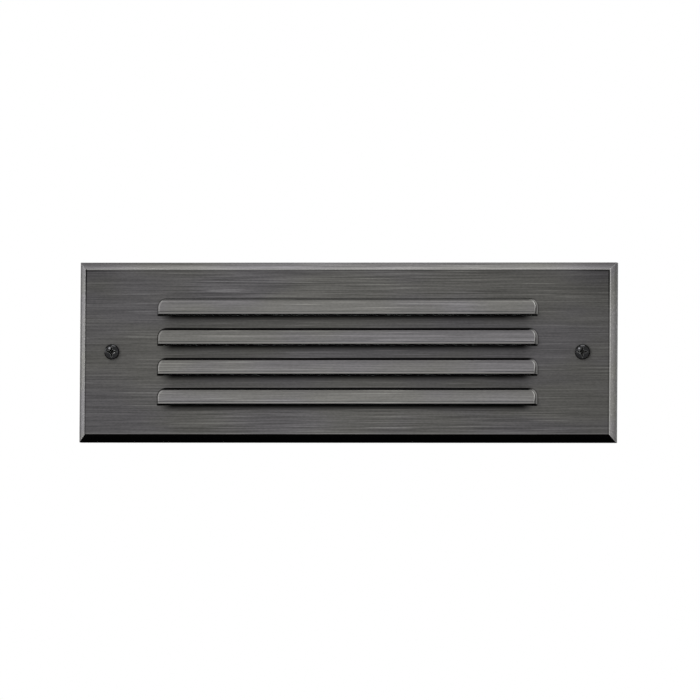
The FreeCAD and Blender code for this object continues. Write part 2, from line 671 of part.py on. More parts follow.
def bore_back_box(body):
    """Every hole in the casting."""
    face_bores = new_sketch(body, "face_screw_bores", offset="flange_thickness")
    for side in BOTH_SIDES:
        circle(face_bores, "2 * bore_for_face_screw", x=f"{side}face_screw_x")
    cut(face_bores, "flange_thickness + gusset_depth", "in")

    wall_holes = new_sketch(body, "wall_screw_holes", offset="flange_thickness")
    for x, z in four_corners("wall_screw_x", "wall_screw_z"):
        circle(wall_holes, "wall_screw_hole", x, z)
    cut(wall_holes, "2 * flange_thickness", "in")

    frame_bores = new_sketch(body, "frame_screw_bores", offset="-lens_front")
    for x, z in four_corners("pillar_x", "pillar_z"):
        circle(frame_bores, "2 * bore_for_small_screw", x, z)
    cut(frame_bores, "mouth_depth + box_wall + frame_boss_length - lens_front - box_wall", "in")

    tray_bores = new_sketch(body, "tray_screw_bores", offset="-tray_rear")
    for x, z in four_corners("post_x", "post_z"):
        circle(tray_bores, "2 * bore_for_small_screw", x, z)
    cut(tray_bores, "tray_screw_length + box_wall", "in")

    ground_bore = new_sketch(body, "ground_bore", offset="-ground_seat")
    circle(ground_bore, "2 * bore_for_face_screw", x="ground_place", z="-ground_drop")
    cut(ground_bore, "ground_boss_height", "in")

    rear_entry = new_sketch(body, "rear_entry", offset="-body_depth / 2")
    circle(rear_entry, "conduit_bore", x="rear_entry_place")
    cut(rear_entry, "body_depth", "in")

    for outwards, sign in (("right", ""), ("left", "-")):
        inner = f"{sign}(hub_inner - box_wall)"
        entry = new_sketch(body, f"entry_{outwards}", plane="side", offset=inner)
        circle(entry, "conduit_bore", x="side_entry_depth")
        cut(entry, "conduit_hub_length + 2 * box_wall", outwards)


# Lens and what clamps it


def make_lens():
    body = new_body("lens")
    outline = new_sketch(body, "outline", offset="-lens_front")
    rounded(outline, "lens_width", "lens_height", "lens_corner")
    glass = pad(outline, "lens_thickness", "in")
    faces = (number("lens_front"), number("lens_front + lens_thickness"))
    rim = edges_where(glass, lambda place: min(abs(place.y - face) for face in faces) < 1e-6)
    dress("Chamfer", glass, rim, "lens_edge")
    keep("lens", body)


def make_lens_gasket():
    body = new_body("lens_gasket")
    ring = new_sketch(body, "ring", offset="-mouth_depth")
    rounded(ring, "lens_width", "lens_height", "lens_corner")
    rounded(ring, "body_width", "body_height", "body_corner")
    pad(ring, "lens_gasket_thickness", "out")
    keep("lens_gasket", body)


def make_lens_frame():
    body = new_body("lens_frame")
    window_width = "lens_width - 2 * frame_lap"
    window_height = "lens_height - 2 * frame_lap"
    sheet_metal = new_sketch(body, "sheet_metal", offset="-lens_front")
    outer = ("mouth_width - 2 * frame_gap", "mouth_height - 2 * frame_gap")
    rounded(sheet_metal, *outer, "mouth_corner")
    rounded(sheet_metal, window_width, window_height, "lens_corner")
    for x, z in four_corners("pillar_x", "pillar_z"):
        circle(sheet_metal, "small_clearance", x, z)
    pad(sheet_metal, "frame_thickness", "out")
    lip = new_sketch(body, "lip", offset="-lens_front")
    around = (f"{window_width} + 2 * frame_thickness", f"{window_height} + 2 * frame_thickness")
    rounded(lip, *around, "lens_corner + frame_thickness")
    rounded(lip, window_width, window_height, "lens_corner")
    pad(lip, "frame_thickness + frame_lip", "out")
    keep("lens_frame", body)


# Light source: reflector, board, chips, connector and pad


def make_reflector():
    """A trough with leaning walls, open towards the lens, with a window round each chip."""
    body = new_body("reflector")
    outline = new_sketch(body, "outline", offset="-reflector_mouth")
    mouth = ("reflector_mouth_width", "reflector_mouth_height")
    rectangle(outline, *mouth)
    pad(outline, "board_front - reflector_mouth", "in")
    lean = ("reflector_mouth", "board_front", "reflector_lean", "reflector_lean")
    block = slope_sides(body, "lean", *mouth, *lean)
    front = number("reflector_mouth")
    named = enumerate(block.Shape.Faces, start=1)
    open_faces = [f"Face{index}" for index, face in named if abs(face.CenterOfMass.y - front) < 1e-6]
    trough = body.newObject("PartDesign::Thickness", "reflector_trough")
    trough.Base = (block, open_faces)
    trough.setExpression("Value", formula("reflector_wall"))
    trough.Reversed = True
    trough.Join = "Intersection"
    check(trough)
    windows = new_sketch(body, "windows", offset="-reflector_floor")
    for place in led_places():
        rectangle(windows, "led_window", "led_window", x=place)
    for side in BOTH_SIDES:
        circle(windows, "small_clearance", x=f"{side}board_screw_x")
    cut(windows, "reflector_wall", "in")
    keep("reflector", body)


def led_places():
    count = int(number("led_count"))
    return [f"({index} - (led_count - 1) / 2) * led_pitch" for index in range(count)]


def make_led_board():
    body = new_body("led_board")
    outline = new_sketch(body, "outline", offset="-board_front")
    rectangle(outline, "board_width", "board_height")
    for side in BOTH_SIDES:
        circle(outline, "small_clearance", x=f"{side}board_screw_x")
    pad(outline, "board_thickness", "in")
    keep("led_board", body)


def make_thermal_pad():
    body = new_body("thermal_pad")
    outline = new_sketch(body, "outline", offset="-(board_front + board_thickness)")
    rectangle(outline, "reflector_floor_width", "board_height - 2 * pad_margin")
    for side in BOTH_SIDES:
        circle(outline, "pad_hole", x=f"{side}board_screw_x")
    pad(outline, "pad_thickness", "in")
    keep("thermal_pad", body)


def make_leds():
    body = new_body("led_chip")
    outline = new_sketch(body, "outline")
    rectangle(outline, "led_size", "led_size")
    pad(outline, "led_height", "out")
    copies("leds", body, [(place, "board_front", "0") for place in led_places()])


def make_board_connector():
    body = new_body("board_connector")
    outline = new_sketch(body, "outline", offset="-board_front")
    rectangle(outline, "connector_across", "connector_up", x="connector_place")
    pad(outline, "connector_height", "out")
    keep("board_connector", body)


# Gear tray and what it carries behind it

SCREW_SIDES = 8


def make_gear_tray():
    body = new_body("gear_tray")
    outline = new_sketch(body, "outline", offset="-tray_depth")
    rounded(outline, "tray_width", "tray_height", "body_corner")
    for x, z in four_corners("post_x", "post_z"):
        circle(outline, "small_clearance", x, z)
    circle(outline, "grommet_hole", x="connector_place", z="-grommet_drop")
    pad(outline, "tray_thickness", "in")
    turns = new_sketch(body, "turned_edges", offset="-tray_depth")
    for side in BOTH_SIDES:
        edge = f"{side}(tray_height - tray_thickness) / 2"
        rectangle(turns, "tray_width - 2 * tray_turn_inset", "tray_thickness", z=edge)
    pad(turns, "tray_turn", "in")
    pilots = new_sketch(body, "pilot_holes", offset="-tray_depth")
    for side in BOTH_SIDES:
        circle(pilots, "2 * bore_for_small_screw", x=f"{side}board_screw_x")
        circle(pilots, "2 * bore_for_small_screw", x=f"driver_place {side or '+'} driver_screw_reach")
        circle(pilots, "2 * bore_for_small_screw", x=f"block_place {side or '+'} block_screw_reach")
    cut(pilots, "tray_thickness", "in")
    keep("gear_tray", body)


def make_wire_grommet():
    body = new_body("wire_grommet")
    profile = new_sketch(body, "profile", plane="top")
    bore, waist, rim = "grommet_bore / 2", "grommet_hole / 2", "grommet_flange / 2"
    front, rear = "-grommet_lip", "tray_thickness + grommet_lip"
    corners = [(bore, front), (rim, front), (rim, "0"), (waist, "0")]
    corners += [(waist, "tray_thickness"), (rim, "tray_thickness"), (rim, rear), (bore, rear)]
    polygon(profile, corners)
    revolve(profile)
    copies("wire_grommet", body, [("connector_place", "tray_depth", "-grommet_drop")])


def make_led_driver():
    body = new_body("led_driver")
    case = new_sketch(body, "case", offset="-tray_rear")
    rectangle(case, "driver_width", "driver_height", x="driver_place")
    block = pad(case, "driver_depth", "in")
    rear = number("tray_rear + driver_depth")
    ridge = edges_where(block, lambda place: abs(place.y - rear) < 1e-6)
    dress("Fillet", block, ridge, "driver_corner")
    ears = new_sketch(body, "ears", offset="-tray_rear")
    ear_span = "driver_width + 2 * driver_ear"
    rounded(ears, ear_span, "driver_ear_width", "driver_corner", x="driver_place")
    pad(ears, "driver_ear_thickness", "in")
    holes = new_sketch(body, "ear_holes", offset="-tray_rear")
    for sign in "+-":
        circle(holes, "small_clearance", x=f"driver_place {sign} driver_screw_reach")
    cut(holes, "driver_ear_thickness", "in")
    keep("led_driver", body)


def pole_places():
    count = int(number("pole_count"))
    return [f"block_place + ({index} - (pole_count - 1) / 2) * pole_pitch" for index in range(count)]


def make_terminal_block():
    body = new_body("terminal_block")
    case = new_sketch(body, "case", offset="-tray_rear")
    rectangle(case, "block_width", "block_up", x="block_place")
    pad(case, "block_depth", "in")
    wells = new_sketch(body, "wells", offset="-block_rear")
    well = "terminal_screw + 2 * running_fit"
    for pole in pole_places():
        for sign in BOTH_SIDES:
            rectangle(wells, well, well, x=pole, z=f"{sign}terminal_spread")
    cut(wells, "terminal_well", "out")
    counterbores = new_sketch(body, "counterbores", offset="-block_rear")
    holes = new_sketch(body, "fixing_holes", offset="-tray_rear")
    for sign in "+-":
        circle(counterbores, "counterbore", x=f"block_place {sign} block_screw_reach")
        circle(holes, "small_clearance", x=f"block_place {sign} block_screw_reach")
    cut(counterbores, "terminal_well", "out")
    cut(holes, "block_depth", "in")
    for name, offset, towards in (("upper", "block_up / 2", "down"), ("lower", "-block_up / 2", "up")):
        entries = new_sketch(body, f"{name}_entries", plane="top", offset=offset)
        for pole in pole_places():
            rectangle(entries, "wire_entry", "wire_entry", x=pole, z="wire_entry_depth")
        cut(entries, "wire_entry_length", towards)
    keep("terminal_block", body)


def make_terminal_screws():
    body = new_body("terminal_screw_piece")
    barrel = new_sketch(body, "barrel")
    prism(barrel, SCREW_SIDES, "terminal_screw")
    pad(barrel, "terminal_screw_height", "in")
    places = []
    for pole in pole_places():
        for sign in BOTH_SIDES:
            places.append((pole, "block_screw_seat", f"{sign}terminal_spread"))
    copies("terminal_screws", body, places)


# Screws: the bearing face of the head is at y = 0, the shank points into the wall


def make_face_screw():
    """A pan-head machine screw with a cross recess, turned from its half profile."""
    body = new_body("face_screw")
    profile = new_sketch(body, "profile", plane="top")
    shank, tip, rim = "face_screw_shank / 2", "face_screw_shank / 4", "face_screw_head / 2"
    crown = "-face_screw_head_height"
    corners = [("0", "face_screw_length"), (tip, "face_screw_length")]
    corners += [(shank, f"face_screw_length - {tip}"), (shank, "0"), (rim, "0")]
    corners += [(rim, f"{crown} * rim_share"), (f"{rim} * shoulder_share", f"{crown} * shoulder_rise")]
    corners += [(f"{rim} * crown_share", crown), ("0", crown)]
    polygon(profile, corners)
    revolve(profile)
    recess = new_sketch(body, "recess", offset="face_screw_head_height")
    arm, half = "recess_arm / 2", "recess_width / 2"
    quarter = [(half, half), (half, arm), (f"-{half}", arm), (f"-{half}", half)]
    outline = []
    for _ in range(4):
        outline += quarter[1:]
        quarter = [(f"-({z})", x) for x, z in quarter]
    polygon(recess, outline)
    cut(recess, "recess_depth", "in")
    return body


def make_plain_screw(name, head, head_height, shank, length):
    """A small screw that the faceplate or the tray hides, with a plain eight-sided head and shank."""
    body = new_body(name)
    top = new_sketch(body, "head")
    prism(top, SCREW_SIDES, head)
    pad(top, head_height, "out")
    stem = new_sketch(body, "stem")
    prism(stem, SCREW_SIDES, shank)
    pad(stem, length, "in")
    return body


def make_screws():
    face = make_face_screw()
    for side, sign in (("left", "-"), ("right", "")):
        place = (f"{sign}face_screw_x", "-plate_depth", "0")
        copies(f"face_screw_{side}", face, [place])

    head = ("face_screw_head", "face_screw_head_height", "face_screw_shank")
    ground = make_plain_screw("ground_screw_piece", *head, "ground_screw_length")
    copies("ground_screw", ground, [("ground_place", "lug_front", "-ground_drop")])

    def small(name, length):
        return make_plain_screw(name, "small_head", "small_head_height", "small_shank", length)

    frame_screw = small("frame_screw", "frame_screw_length")
    corners = four_corners("pillar_x", "pillar_z")
    copies("lens_frame_screws", frame_screw, [(x, "frame_front", z) for x, z in corners])
    tray_screw = small("tray_screw", "tray_screw_length")
    corners = four_corners("post_x", "post_z")
    copies("tray_screws", tray_screw, [(x, "tray_depth", z) for x, z in corners])
    board_screw = small("board_screw", "board_screw_length")
    places = [(f"{sign}board_screw_x", "reflector_floor", "0") for sign in BOTH_SIDES]
    copies("board_screws", board_screw, places)

    about = FreeCAD.Rotation(FreeCAD.Vector(1, 0, 0), 180)
    driver_screw = small("driver_screw", "driver_screw_length")
    places = [(f"driver_place {sign} driver_screw_reach", "ear_rear", "0") for sign in "+-"]
    copies("driver_screws", driver_screw, places, about)
    block_screw = small("block_screw", "block_screw_length")
    places = [(f"block_place {sign} block_screw_reach", "block_screw_seat", "0") for sign in "+-"]
    copies("terminal_block_screws", block_screw, places, about)


# Ground lug and leads


def make_ground_lug():
    body = new_body("ground_lug")
    ring = new_sketch(body, "ring", offset="-ground_seat")
    circle(ring, "lug_ring", x="ground_place", z="-ground_drop")
    pad(ring, "lug_thickness", "out")
    neck = new_sketch(body, "neck", offset="-ground_seat")
    length = "lug_reach - lug_barrel_length + lug_lap"
    rectangle(neck, length, "lug_neck", x=f"ground_place - ({length}) / 2", z="-ground_drop")
    pad(neck, "lug_thickness", "out")
    barrel = new_sketch(body, "barrel", plane="side", offset="ground_place - lug_reach")
    circle(barrel, "lug_barrel", x="ground_seat - lug_barrel / 2", z="-ground_drop")
    pad(barrel, "lug_barrel_length", "right")
    hole = new_sketch(body, "hole", offset="-ground_seat")
    circle(hole, "2 * bore_for_face_screw", x="ground_place", z="-ground_drop")
    cut(hole, "lug_thickness", "out")
    keep("ground_lug", body)


def bent_path(corners, share=0.45):
    """Straight runs joined by tangent arcs, each as large as its two runs allow."""
    edges = []
    start = corners[0]
    for before, corner, after in zip(corners, corners[1:], corners[2:]):
        towards, onwards = corner - before, after - corner
        reach = share * min(towards.Length, onwards.Length)
        towards.normalize()
        onwards.normalize()
        arc_start, arc_end = corner - towards * reach, corner + onwards * reach
        inside = onwards - towards
        half_cosine = (1 - (inside.Length / 2) ** 2) ** 0.5
        radius = reach * half_cosine / (inside.Length / 2)
        inside.normalize()
        middle = corner + inside * (radius / half_cosine - radius)
        edges.append(Part.makeLine(start, arc_start))
        edges.append(Part.Arc(arc_start, middle, arc_end).toShape())
        start = arc_end
    edges.append(Part.makeLine(start, corners[-1]))
    return Part.Wire(edges)


def make_lead(name, diameter, corners):
    """A lead along its corners, a path in space that no one sketch holds, six-sided in section."""
    path = bent_path([point(*corner) for corner in corners])
    start = path.Edges[0].valueAt(path.Edges[0].FirstParameter)
    heading = path.Edges[0].tangentAt(path.Edges[0].FirstParameter)
    rim = Part.makeCircle(number(diameter) / 2, start, heading).discretize(7)
    pieces = [Part.Face(Part.makePolygon(rim))]
    for edge in path.Edges:
        cap = pieces[-1] if len(pieces) == 1 else end_cap
        if isinstance(edge.Curve, Part.Circle):
            sweep = FreeCAD.Units.Quantity(f"{edge.LastParameter - edge.FirstParameter} rad")
            turn = sweep.getValueAs("deg").Value
            pieces.append(cap.revolve(edge.Curve.Center, edge.Curve.Axis, turn))
            end_cap = cap.rotated(edge.Curve.Center, edge.Curve.Axis, turn)
        else:
            reach = edge.valueAt(edge.LastParameter) - edge.valueAt(edge.FirstParameter)
            pieces.append(cap.extrude(reach))
            end_cap = cap.translated(reach)
    tube = pieces[1].fuse(pieces[2:]).removeSplitter()
    lead = doc.addObject("Part::Feature", f"{name}_lead")
    lead.Shape = tube.Solids[0]
    keep(name, check(lead))
    share = lead.Shape.Volume / (path.Length * pieces[0].Area)
    print(f"{name}: {path.Length:.1f} mm long, {share:.4f} of its section times its length")


def make_leads():
    poles = pole_places()
    into_block = "-block_up / 2 + wire_insertion"
    for name, pole in (("live", poles[0]), ("neutral", poles[1])):
        level = ("wire_entry_depth", f"-{name}_drop")
        corners = [("driver_right", *level), (pole, *level), (pole, "wire_entry_depth", into_block)]
        make_lead(f"supply_lead_{name}", "lead_size", corners)

    barrel_axis = "ground_seat - lug_barrel / 2"
    ground = [("ground_place - lug_reach", barrel_axis, "-ground_drop")]
    ground += [(poles[2], barrel_axis, "-ground_drop"), (poles[2], "wire_entry_depth", "-ground_drop")]
    ground += [(poles[2], "wire_entry_depth", into_block)]
    make_lead("ground_wire", "ground_lead_size", ground)

    over_board = "board_front - lead_size"
    for name, sign in (("output_lead_positive", "-"), ("output_lead_negative", "+")):
        x = f"connector_place {sign} output_spacing / 2"
        depth = f"output_depth {'+' if sign == '-' else '-'} output_spacing / 2"
        corners = [("driver_left", depth, "-grommet_drop"), (x, depth, "-grommet_drop")]
        corners += [(x, over_board, "-grommet_drop"), (x, over_board, "-connector_up / 2")]
        make_lead(name, "lead_size", corners)


# Conduit plugs


def make_conduit_plugs():
    body = new_body("conduit_plug")
    profile = new_sketch(body, "profile", plane="top")
    outer, inner = "conduit_bore / 2 - running_fit", "conduit_bore / 2 - plug_wall"
    floor = "plug_head_height - plug_wall"
    corners = [("0", "plug_head_height"), ("plug_head / 2", "plug_head_height"), ("plug_head / 2", "0")]
    corners += [(outer, "0"), (outer, "-plug_length"), (inner, "-plug_length")]
    corners += [(inner, floor), ("0", floor)]
    polygon(profile, corners)
    revolve(profile)
    slot = new_sketch(body, "slot", offset="-plug_head_height")
    rectangle(slot, "plug_slot", "plug_slot_length")
    cut(slot, "plug_slot_depth", "out")
    for side, sign, angle in (("right", "", -90), ("left", "-", 90)):
        turn = FreeCAD.Rotation(FreeCAD.Vector(0, 0, 1), angle)
        place = (f"{sign}box_end", "side_entry_depth", "0")
        copies(f"conduit_plug_{side}", body, [place], turn)


make_faceplate()
make_faceplate_gasket()
make_back_box()
make_lens()
make_lens_gasket()
make_lens_frame()
make_reflector()
make_led_board()
make_thermal_pad()
make_leds()
make_board_connector()
make_gear_tray()
make_wire_grommet()
make_led_driver()
make_terminal_block()
make_terminal_screws()
make_screws()
make_ground_lug()
make_leads()
make_conduit_plugs()

doc.recompute()
for thing in doc.Objects:
    if {"Invalid", "Error"} & set(thing.State):
        raise RuntimeError(f"{thing.Label} is {thing.State}")
for name, thing in nodes.items():
    if thing.Shape.isNull() or not thing.Shape.isValid() or not thing.Shape.Solids:
        raise RuntimeError(f"{name} isn't a valid solid")

os.makedirs("parts", exist_ok=True)
for name, thing in nodes.items():
    thing.Shape.exportStep(f"parts/{name}.step")
    print(f"{name}: {len(thing.Shape.Solids)} solids, {thing.Shape.Volume / 1000:.2f} cm3")
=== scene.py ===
# %% [markdown]
# # A recessed step light
# The light is set into a wall: a dark metal faceplate with four hooded louvers lies on the wall, and
# a die-cast box behind it holds the lens, the reflector, the light board and the driver.
# Every piece is already at its real size in the frame that is loaded here. What is left to do is what
# a finisher does: round the edges, cut the threads and recesses of the screws, and give each surface
# its colour, grain and wear. Lengths are in metres, and `mm` turns millimetres into metres.

# %% Load the frame
import json
import math

import bmesh
import bpy
from mathutils import Matrix, Vector


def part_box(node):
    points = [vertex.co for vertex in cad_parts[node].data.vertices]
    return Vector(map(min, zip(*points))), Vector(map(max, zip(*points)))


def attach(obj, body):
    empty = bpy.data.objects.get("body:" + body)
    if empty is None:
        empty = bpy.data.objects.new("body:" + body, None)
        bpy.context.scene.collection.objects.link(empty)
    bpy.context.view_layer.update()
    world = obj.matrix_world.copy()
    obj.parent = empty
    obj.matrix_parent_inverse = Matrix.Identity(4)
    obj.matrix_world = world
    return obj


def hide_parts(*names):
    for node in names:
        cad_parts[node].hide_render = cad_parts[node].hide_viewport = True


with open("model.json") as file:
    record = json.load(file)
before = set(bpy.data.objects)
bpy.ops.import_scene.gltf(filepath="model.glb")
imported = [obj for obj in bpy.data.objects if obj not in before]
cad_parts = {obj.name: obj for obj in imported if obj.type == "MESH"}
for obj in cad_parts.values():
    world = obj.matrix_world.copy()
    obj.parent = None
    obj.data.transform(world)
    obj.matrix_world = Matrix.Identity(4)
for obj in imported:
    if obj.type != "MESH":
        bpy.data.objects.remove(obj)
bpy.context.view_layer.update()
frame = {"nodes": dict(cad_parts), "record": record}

mm = 0.001
nodes = frame["nodes"]

# %% [markdown]
# ## Camera
# The photograph is taken from far away with a long lens: the plate's upper and lower edges run
# parallel. The right bevel shows wider than the left one and the lower bevel wider than the upper
# one, so the camera stands a little to the right of the plate and a little below it. From there the
# long edges would run uphill, but they are level in the photograph, so the camera is rolled with them.

# %% Camera
FRAME_PIXELS = 700
PIXELS_PER_METRE = 2182.6
LENS = 1000.0
SENSOR = 36.0
CAMERA_TURN = math.radians(7.0)
CAMERA_RISE = math.radians(-3.3)
PLATE_CENTRE_PIXEL = (347.6, 352.3)

camera_distance = FRAME_PIXELS / PIXELS_PER_METRE * LENS / SENSOR
towards_camera = Vector((
    math.sin(CAMERA_TURN) * math.cos(CAMERA_RISE),
    -math.cos(CAMERA_TURN) * math.cos(CAMERA_RISE),
    math.sin(CAMERA_RISE),
))
long_edge = Vector((1, 0, 0))
camera_right = (long_edge - long_edge.project(towards_camera)).normalized()
camera_up = towards_camera.cross(camera_right)
plate_low, plate_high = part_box("faceplate")
plate_middle = Vector((0, (plate_low.y + plate_high.y) / 2, 0))
aside = (FRAME_PIXELS / 2 - PLATE_CENTRE_PIXEL[0]) / PIXELS_PER_METRE
above = (PLATE_CENTRE_PIXEL[1] - FRAME_PIXELS / 2) / PIXELS_PER_METRE
aim = plate_middle + camera_right * aside + camera_up * above

bpy.ops.object.camera_add(location=aim + towards_camera * camera_distance)
camera = bpy.context.object
camera.rotation_euler = Matrix((camera_right, camera_up, towards_camera)).transposed().to_euler()
camera.data.lens = LENS
camera.data.sensor_width = SENSOR
camera.data.clip_end = 2 * camera_distance
bpy.context.scene.camera = camera
print("camera", round(camera_distance, 2), "m away")

# %% [markdown]
# ## Shader sums
# A finish is a small sum: noise stretched along the brushing, plus wear where an edge sticks out, plus
# black patina and painted shade where a crease holds it. In Blender each term is a Math node. Here a
# value that varies over a surface takes plain arithmetic, and each sign adds its node, so that a sum
# reads as a sum.

# %% Values that vary
def add(tree, kind, **settings):
    """Add a shader node and set its sockets or its own properties by name."""
    node = tree.nodes.new(f"ShaderNode{kind}")
    for key, value in settings.items():
        socket = node.inputs.get(key.replace("_", " "))
        if socket is not None:
            socket.default_value = value
        else:
            setattr(node, key, value)
    return node


def link(tree, source, output, target, socket):
    tree.links.new(source.outputs[output], target.inputs[socket])


def feed(value, socket):
    """Link a varying value to a socket, or write a plain one into it."""
    if isinstance(value, Varying):
        socket.id_data.links.new(value.socket, socket)
    else:
        socket.default_value = value


def maths(operation, *values):
    """A Math node on varying values and plain numbers."""
    tree = next(value.tree for value in values if isinstance(value, Varying))
    node = add(tree, "Math", operation=operation)
    for value, socket in zip(values, node.inputs):
        feed(value, socket)
    return Varying(node.outputs[0])


class Varying:
    """A value that varies over a surface. Of two masks, | keeps the stronger one and * what both cover."""

    def __init__(self, socket):
        self.socket = socket
        self.tree = socket.id_data

    def __add__(self, other):
        return maths("ADD", self, other)

    def __sub__(self, other):
        return maths("SUBTRACT", self, other)

    def __rsub__(self, other):
        return maths("SUBTRACT", other, self)

    def __mul__(self, other):
        return maths("MULTIPLY", self, other)

    def __truediv__(self, other):
        return maths("DIVIDE", self, other)

    def __rtruediv__(self, other):
        return maths("DIVIDE", other, self)

    def __or__(self, other):
        return maths("MAXIMUM", self, other)

    def __abs__(self):
        return maths("ABSOLUTE", self)


def named(sockets):
    """Output sockets as varying values, by name."""
    return {socket.name: Varying(socket) for socket in sockets if socket.name}


# %% [markdown]
# ## Stage
# The plate is photographed against white, lit from above: the louvers' faces are brighter than the
# plate, the upper bevel is brighter still and the lower one is black. The world is white where it is
# seen, directly or in a reflection, and gives less light to matt surfaces. The floor just under the
# plate is pale, and only its upper side shows, because the camera looks at the light from below it.

# %% World
WHITE = (1, 1, 1, 1)
AMBIENT = 0.45


def seen_directly(tree):
    """1 for rays from the camera, from a mirror-like surface or through glass, and 0 for the rest."""
    path = named(add(tree, "LightPath").outputs)
    return path["Is Camera Ray"] | path["Is Glossy Ray"] | path["Is Transmission Ray"]


def mixed(tree, factor, first, second):
    """A Mix Shader of two shader nodes."""
    node = add(tree, "MixShader")
    feed(factor, node.inputs[0])
    link(tree, first, 0, node, 1)
    link(tree, second, 0, node, 2)
    return node


world = bpy.data.worlds.new("studio")
world.use_nodes = True
bpy.context.scene.world = world
tree = world.node_tree
tree.nodes.clear()
ambient = add(tree, "Background", Color=WHITE, Strength=AMBIENT)
white = add(tree, "Background", Color=WHITE, Strength=1.0)
link(tree, mixed(tree, seen_directly(tree), ambient, white), 0, add(tree, "OutputWorld"), 0)
bpy.context.scene.view_settings.view_transform = "Standard"
print("world", AMBIENT, "for matt surfaces")

# %% Floor
FLOOR_RADIUS = 3.0
FLOOR_DROP = 0.3 * mm
FLOOR_COLOUR = (0.80, 0.80, 0.80, 1)
FLOOR_BOUNCE = (0.05, 0.05, 0.05, 1)


def start(primitive, **settings):
    """Add a primitive as the start of a piece, with nothing else selected."""
    bpy.ops.object.select_all(action="DESELECT")
    primitive(**settings)
    return bpy.context.object


def move(piece, step):
    """Move a piece in its mesh, so that its object stays at the origin."""
    piece.data.transform(Matrix.Translation(step))


floor = start(bpy.ops.mesh.primitive_circle_add, vertices=96, radius=FLOOR_RADIUS, fill_type="NGON")
floor.name = "floor"
move(floor, (0, 0, plate_low.z - FLOOR_DROP))

paper = bpy.data.materials.new("pale_floor")
paper.use_nodes = True
tree = paper.node_tree
tree.nodes.clear()
pale = add(tree, "BsdfDiffuse", Color=FLOOR_COLOUR)
shade = add(tree, "BsdfDiffuse", Color=FLOOR_BOUNCE)
upper_side = mixed(tree, seen_directly(tree), shade, pale)
from_below = named(add(tree, "NewGeometry").outputs)["Backfacing"]
one_sided = mixed(tree, from_below, upper_side, add(tree, "BsdfTransparent"))
link(tree, one_sided, 0, add(tree, "OutputMaterial"), 0)
floor.data.materials.append(paper)
print("floor", round(FLOOR_DROP / mm, 1), "mm under the plate")

# %% [markdown]
# ## Lamps
# Each lamp has one job, because the plate is metal and shows a lamp only on the faces that mirror it
# towards the camera. The overhead one is for the louvers and the upper bevel, one at each side is for
# the side bevels, and the upper left one is for the domes of the screws. The plate's face mirrors what
# stands before it: a small lamp there, close by, is brightest in the middle and fades to the ends.

# %% Lamps
def softbox(name, place, size, watts):
    """A rectangular lamp at a place, turned to the plate's centre."""
    bpy.ops.object.light_add(type="AREA", location=place)
    lamp = bpy.context.object
    lamp.name = name
    lamp.data.shape = "RECTANGLE"
    lamp.data.size, lamp.data.size_y = size
    lamp.data.energy = watts
    lamp.rotation_euler = (-Vector(place)).to_track_quat("-Z", "Y").to_euler()
    lamp.visible_camera = False
    print(name, watts, "W")


softbox("overhead_softbox", (0.03, -0.22, 0.83), (0.50, 0.40), 3.35)
softbox("left_softbox", (-1.0, 0.02, 0.15), (0.5, 0.7), 8.45)
softbox("right_softbox", (1.1, -0.10, 0.15), (0.4, 0.6), 4.1)
softbox("upper_left_softbox", (-0.70, -0.85, 0.80), (0.42, 0.40), 6.5)
softbox("front_softbox", (-0.030, -0.25, 0.002), (0.06, 0.06), 0.056)

# %% [markdown]
# ## Rounded edges
# A casting has no sharp edges, and it is the thin highlight along a rounded edge that tells the eye
# that the thing is metal. Each piece that keeps its own shape is copied from the frame, its loose
# triangles are merged and joined into flat faces again, and a Bevel modifier rounds the edges that
# are sharper than a given angle. Weighted normals then keep the large flat faces flat.

# %% Editing helpers
FLAT_WITHIN = math.radians(0.5)
WELD = 0.001 * mm


def only(thing):
    """Make one object the selected and active one."""
    bpy.ops.object.select_all(action="DESELECT")
    thing.select_set(True)
    bpy.context.view_layer.objects.active = thing


def edit(select="SELECT"):
    bpy.ops.object.mode_set(mode="EDIT")
    bpy.ops.mesh.select_all(action=select)


def merged_copy(node, name):
    """A copy of a node as one closed mesh of flat faces."""
    piece = nodes[node].copy()
    piece.data = nodes[node].data.copy()
    piece.parent = None
    for key in list(piece.keys()):
        del piece[key]
    bpy.context.scene.collection.objects.link(piece)
    piece.name = name
    piece.data.materials.clear()
    only(piece)
    edit()
    bpy.ops.mesh.remove_doubles(threshold=WELD)
    bpy.ops.mesh.dissolve_limited(angle_limit=FLAT_WITHIN)
    bpy.ops.object.mode_set(mode="OBJECT")
    return piece


# %% Rounding helpers
SHARP_FROM = math.radians(40)
SMOOTH_UNDER = math.radians(50)


def apply(piece, kind, **settings):
    """Add a modifier with its settings and apply it."""
    only(piece)
    modifier = piece.modifiers.new(kind.lower(), kind)
    for key, value in settings.items():
        setattr(modifier, key, value)
    bpy.ops.object.modifier_apply(modifier=modifier.name)


def round_edges(piece, width, segments=2):
    apply(piece, "BEVEL", limit_method="ANGLE", angle_limit=SHARP_FROM, width=width,
          segments=segments, use_clamp_overlap=True)


def even_shading(piece):
    """Smooth shading on curves, and flat shading on flat faces."""
    only(piece)
    bpy.ops.object.shade_smooth_by_angle(angle=SMOOTH_UNDER)
    apply(piece, "WEIGHTED_NORMAL", keep_sharp=True, weight=100)


# %% Handing in
def body_of(node):
    bodies = frame["record"]["behaviour"]["bodies"]
    return next(body for body, names in bodies.items() if node in names)


def hand_in(piece, node, *finishes):
    """Let a finished piece ride on its node's body and stand for that node."""
    for finish in finishes:
        piece.data.materials.append(finish)
    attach(piece, body_of(node))
    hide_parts(node)
    print(piece.name, len(piece.data.polygons), "faces")


def rounded_piece(node, name, width, finish, segments=2):
    """A node's own shape with rounded edges and its finish."""
    piece = merged_copy(node, name)
    round_edges(piece, width, segments)
    even_shading(piece)
    hand_in(piece, node, finish)
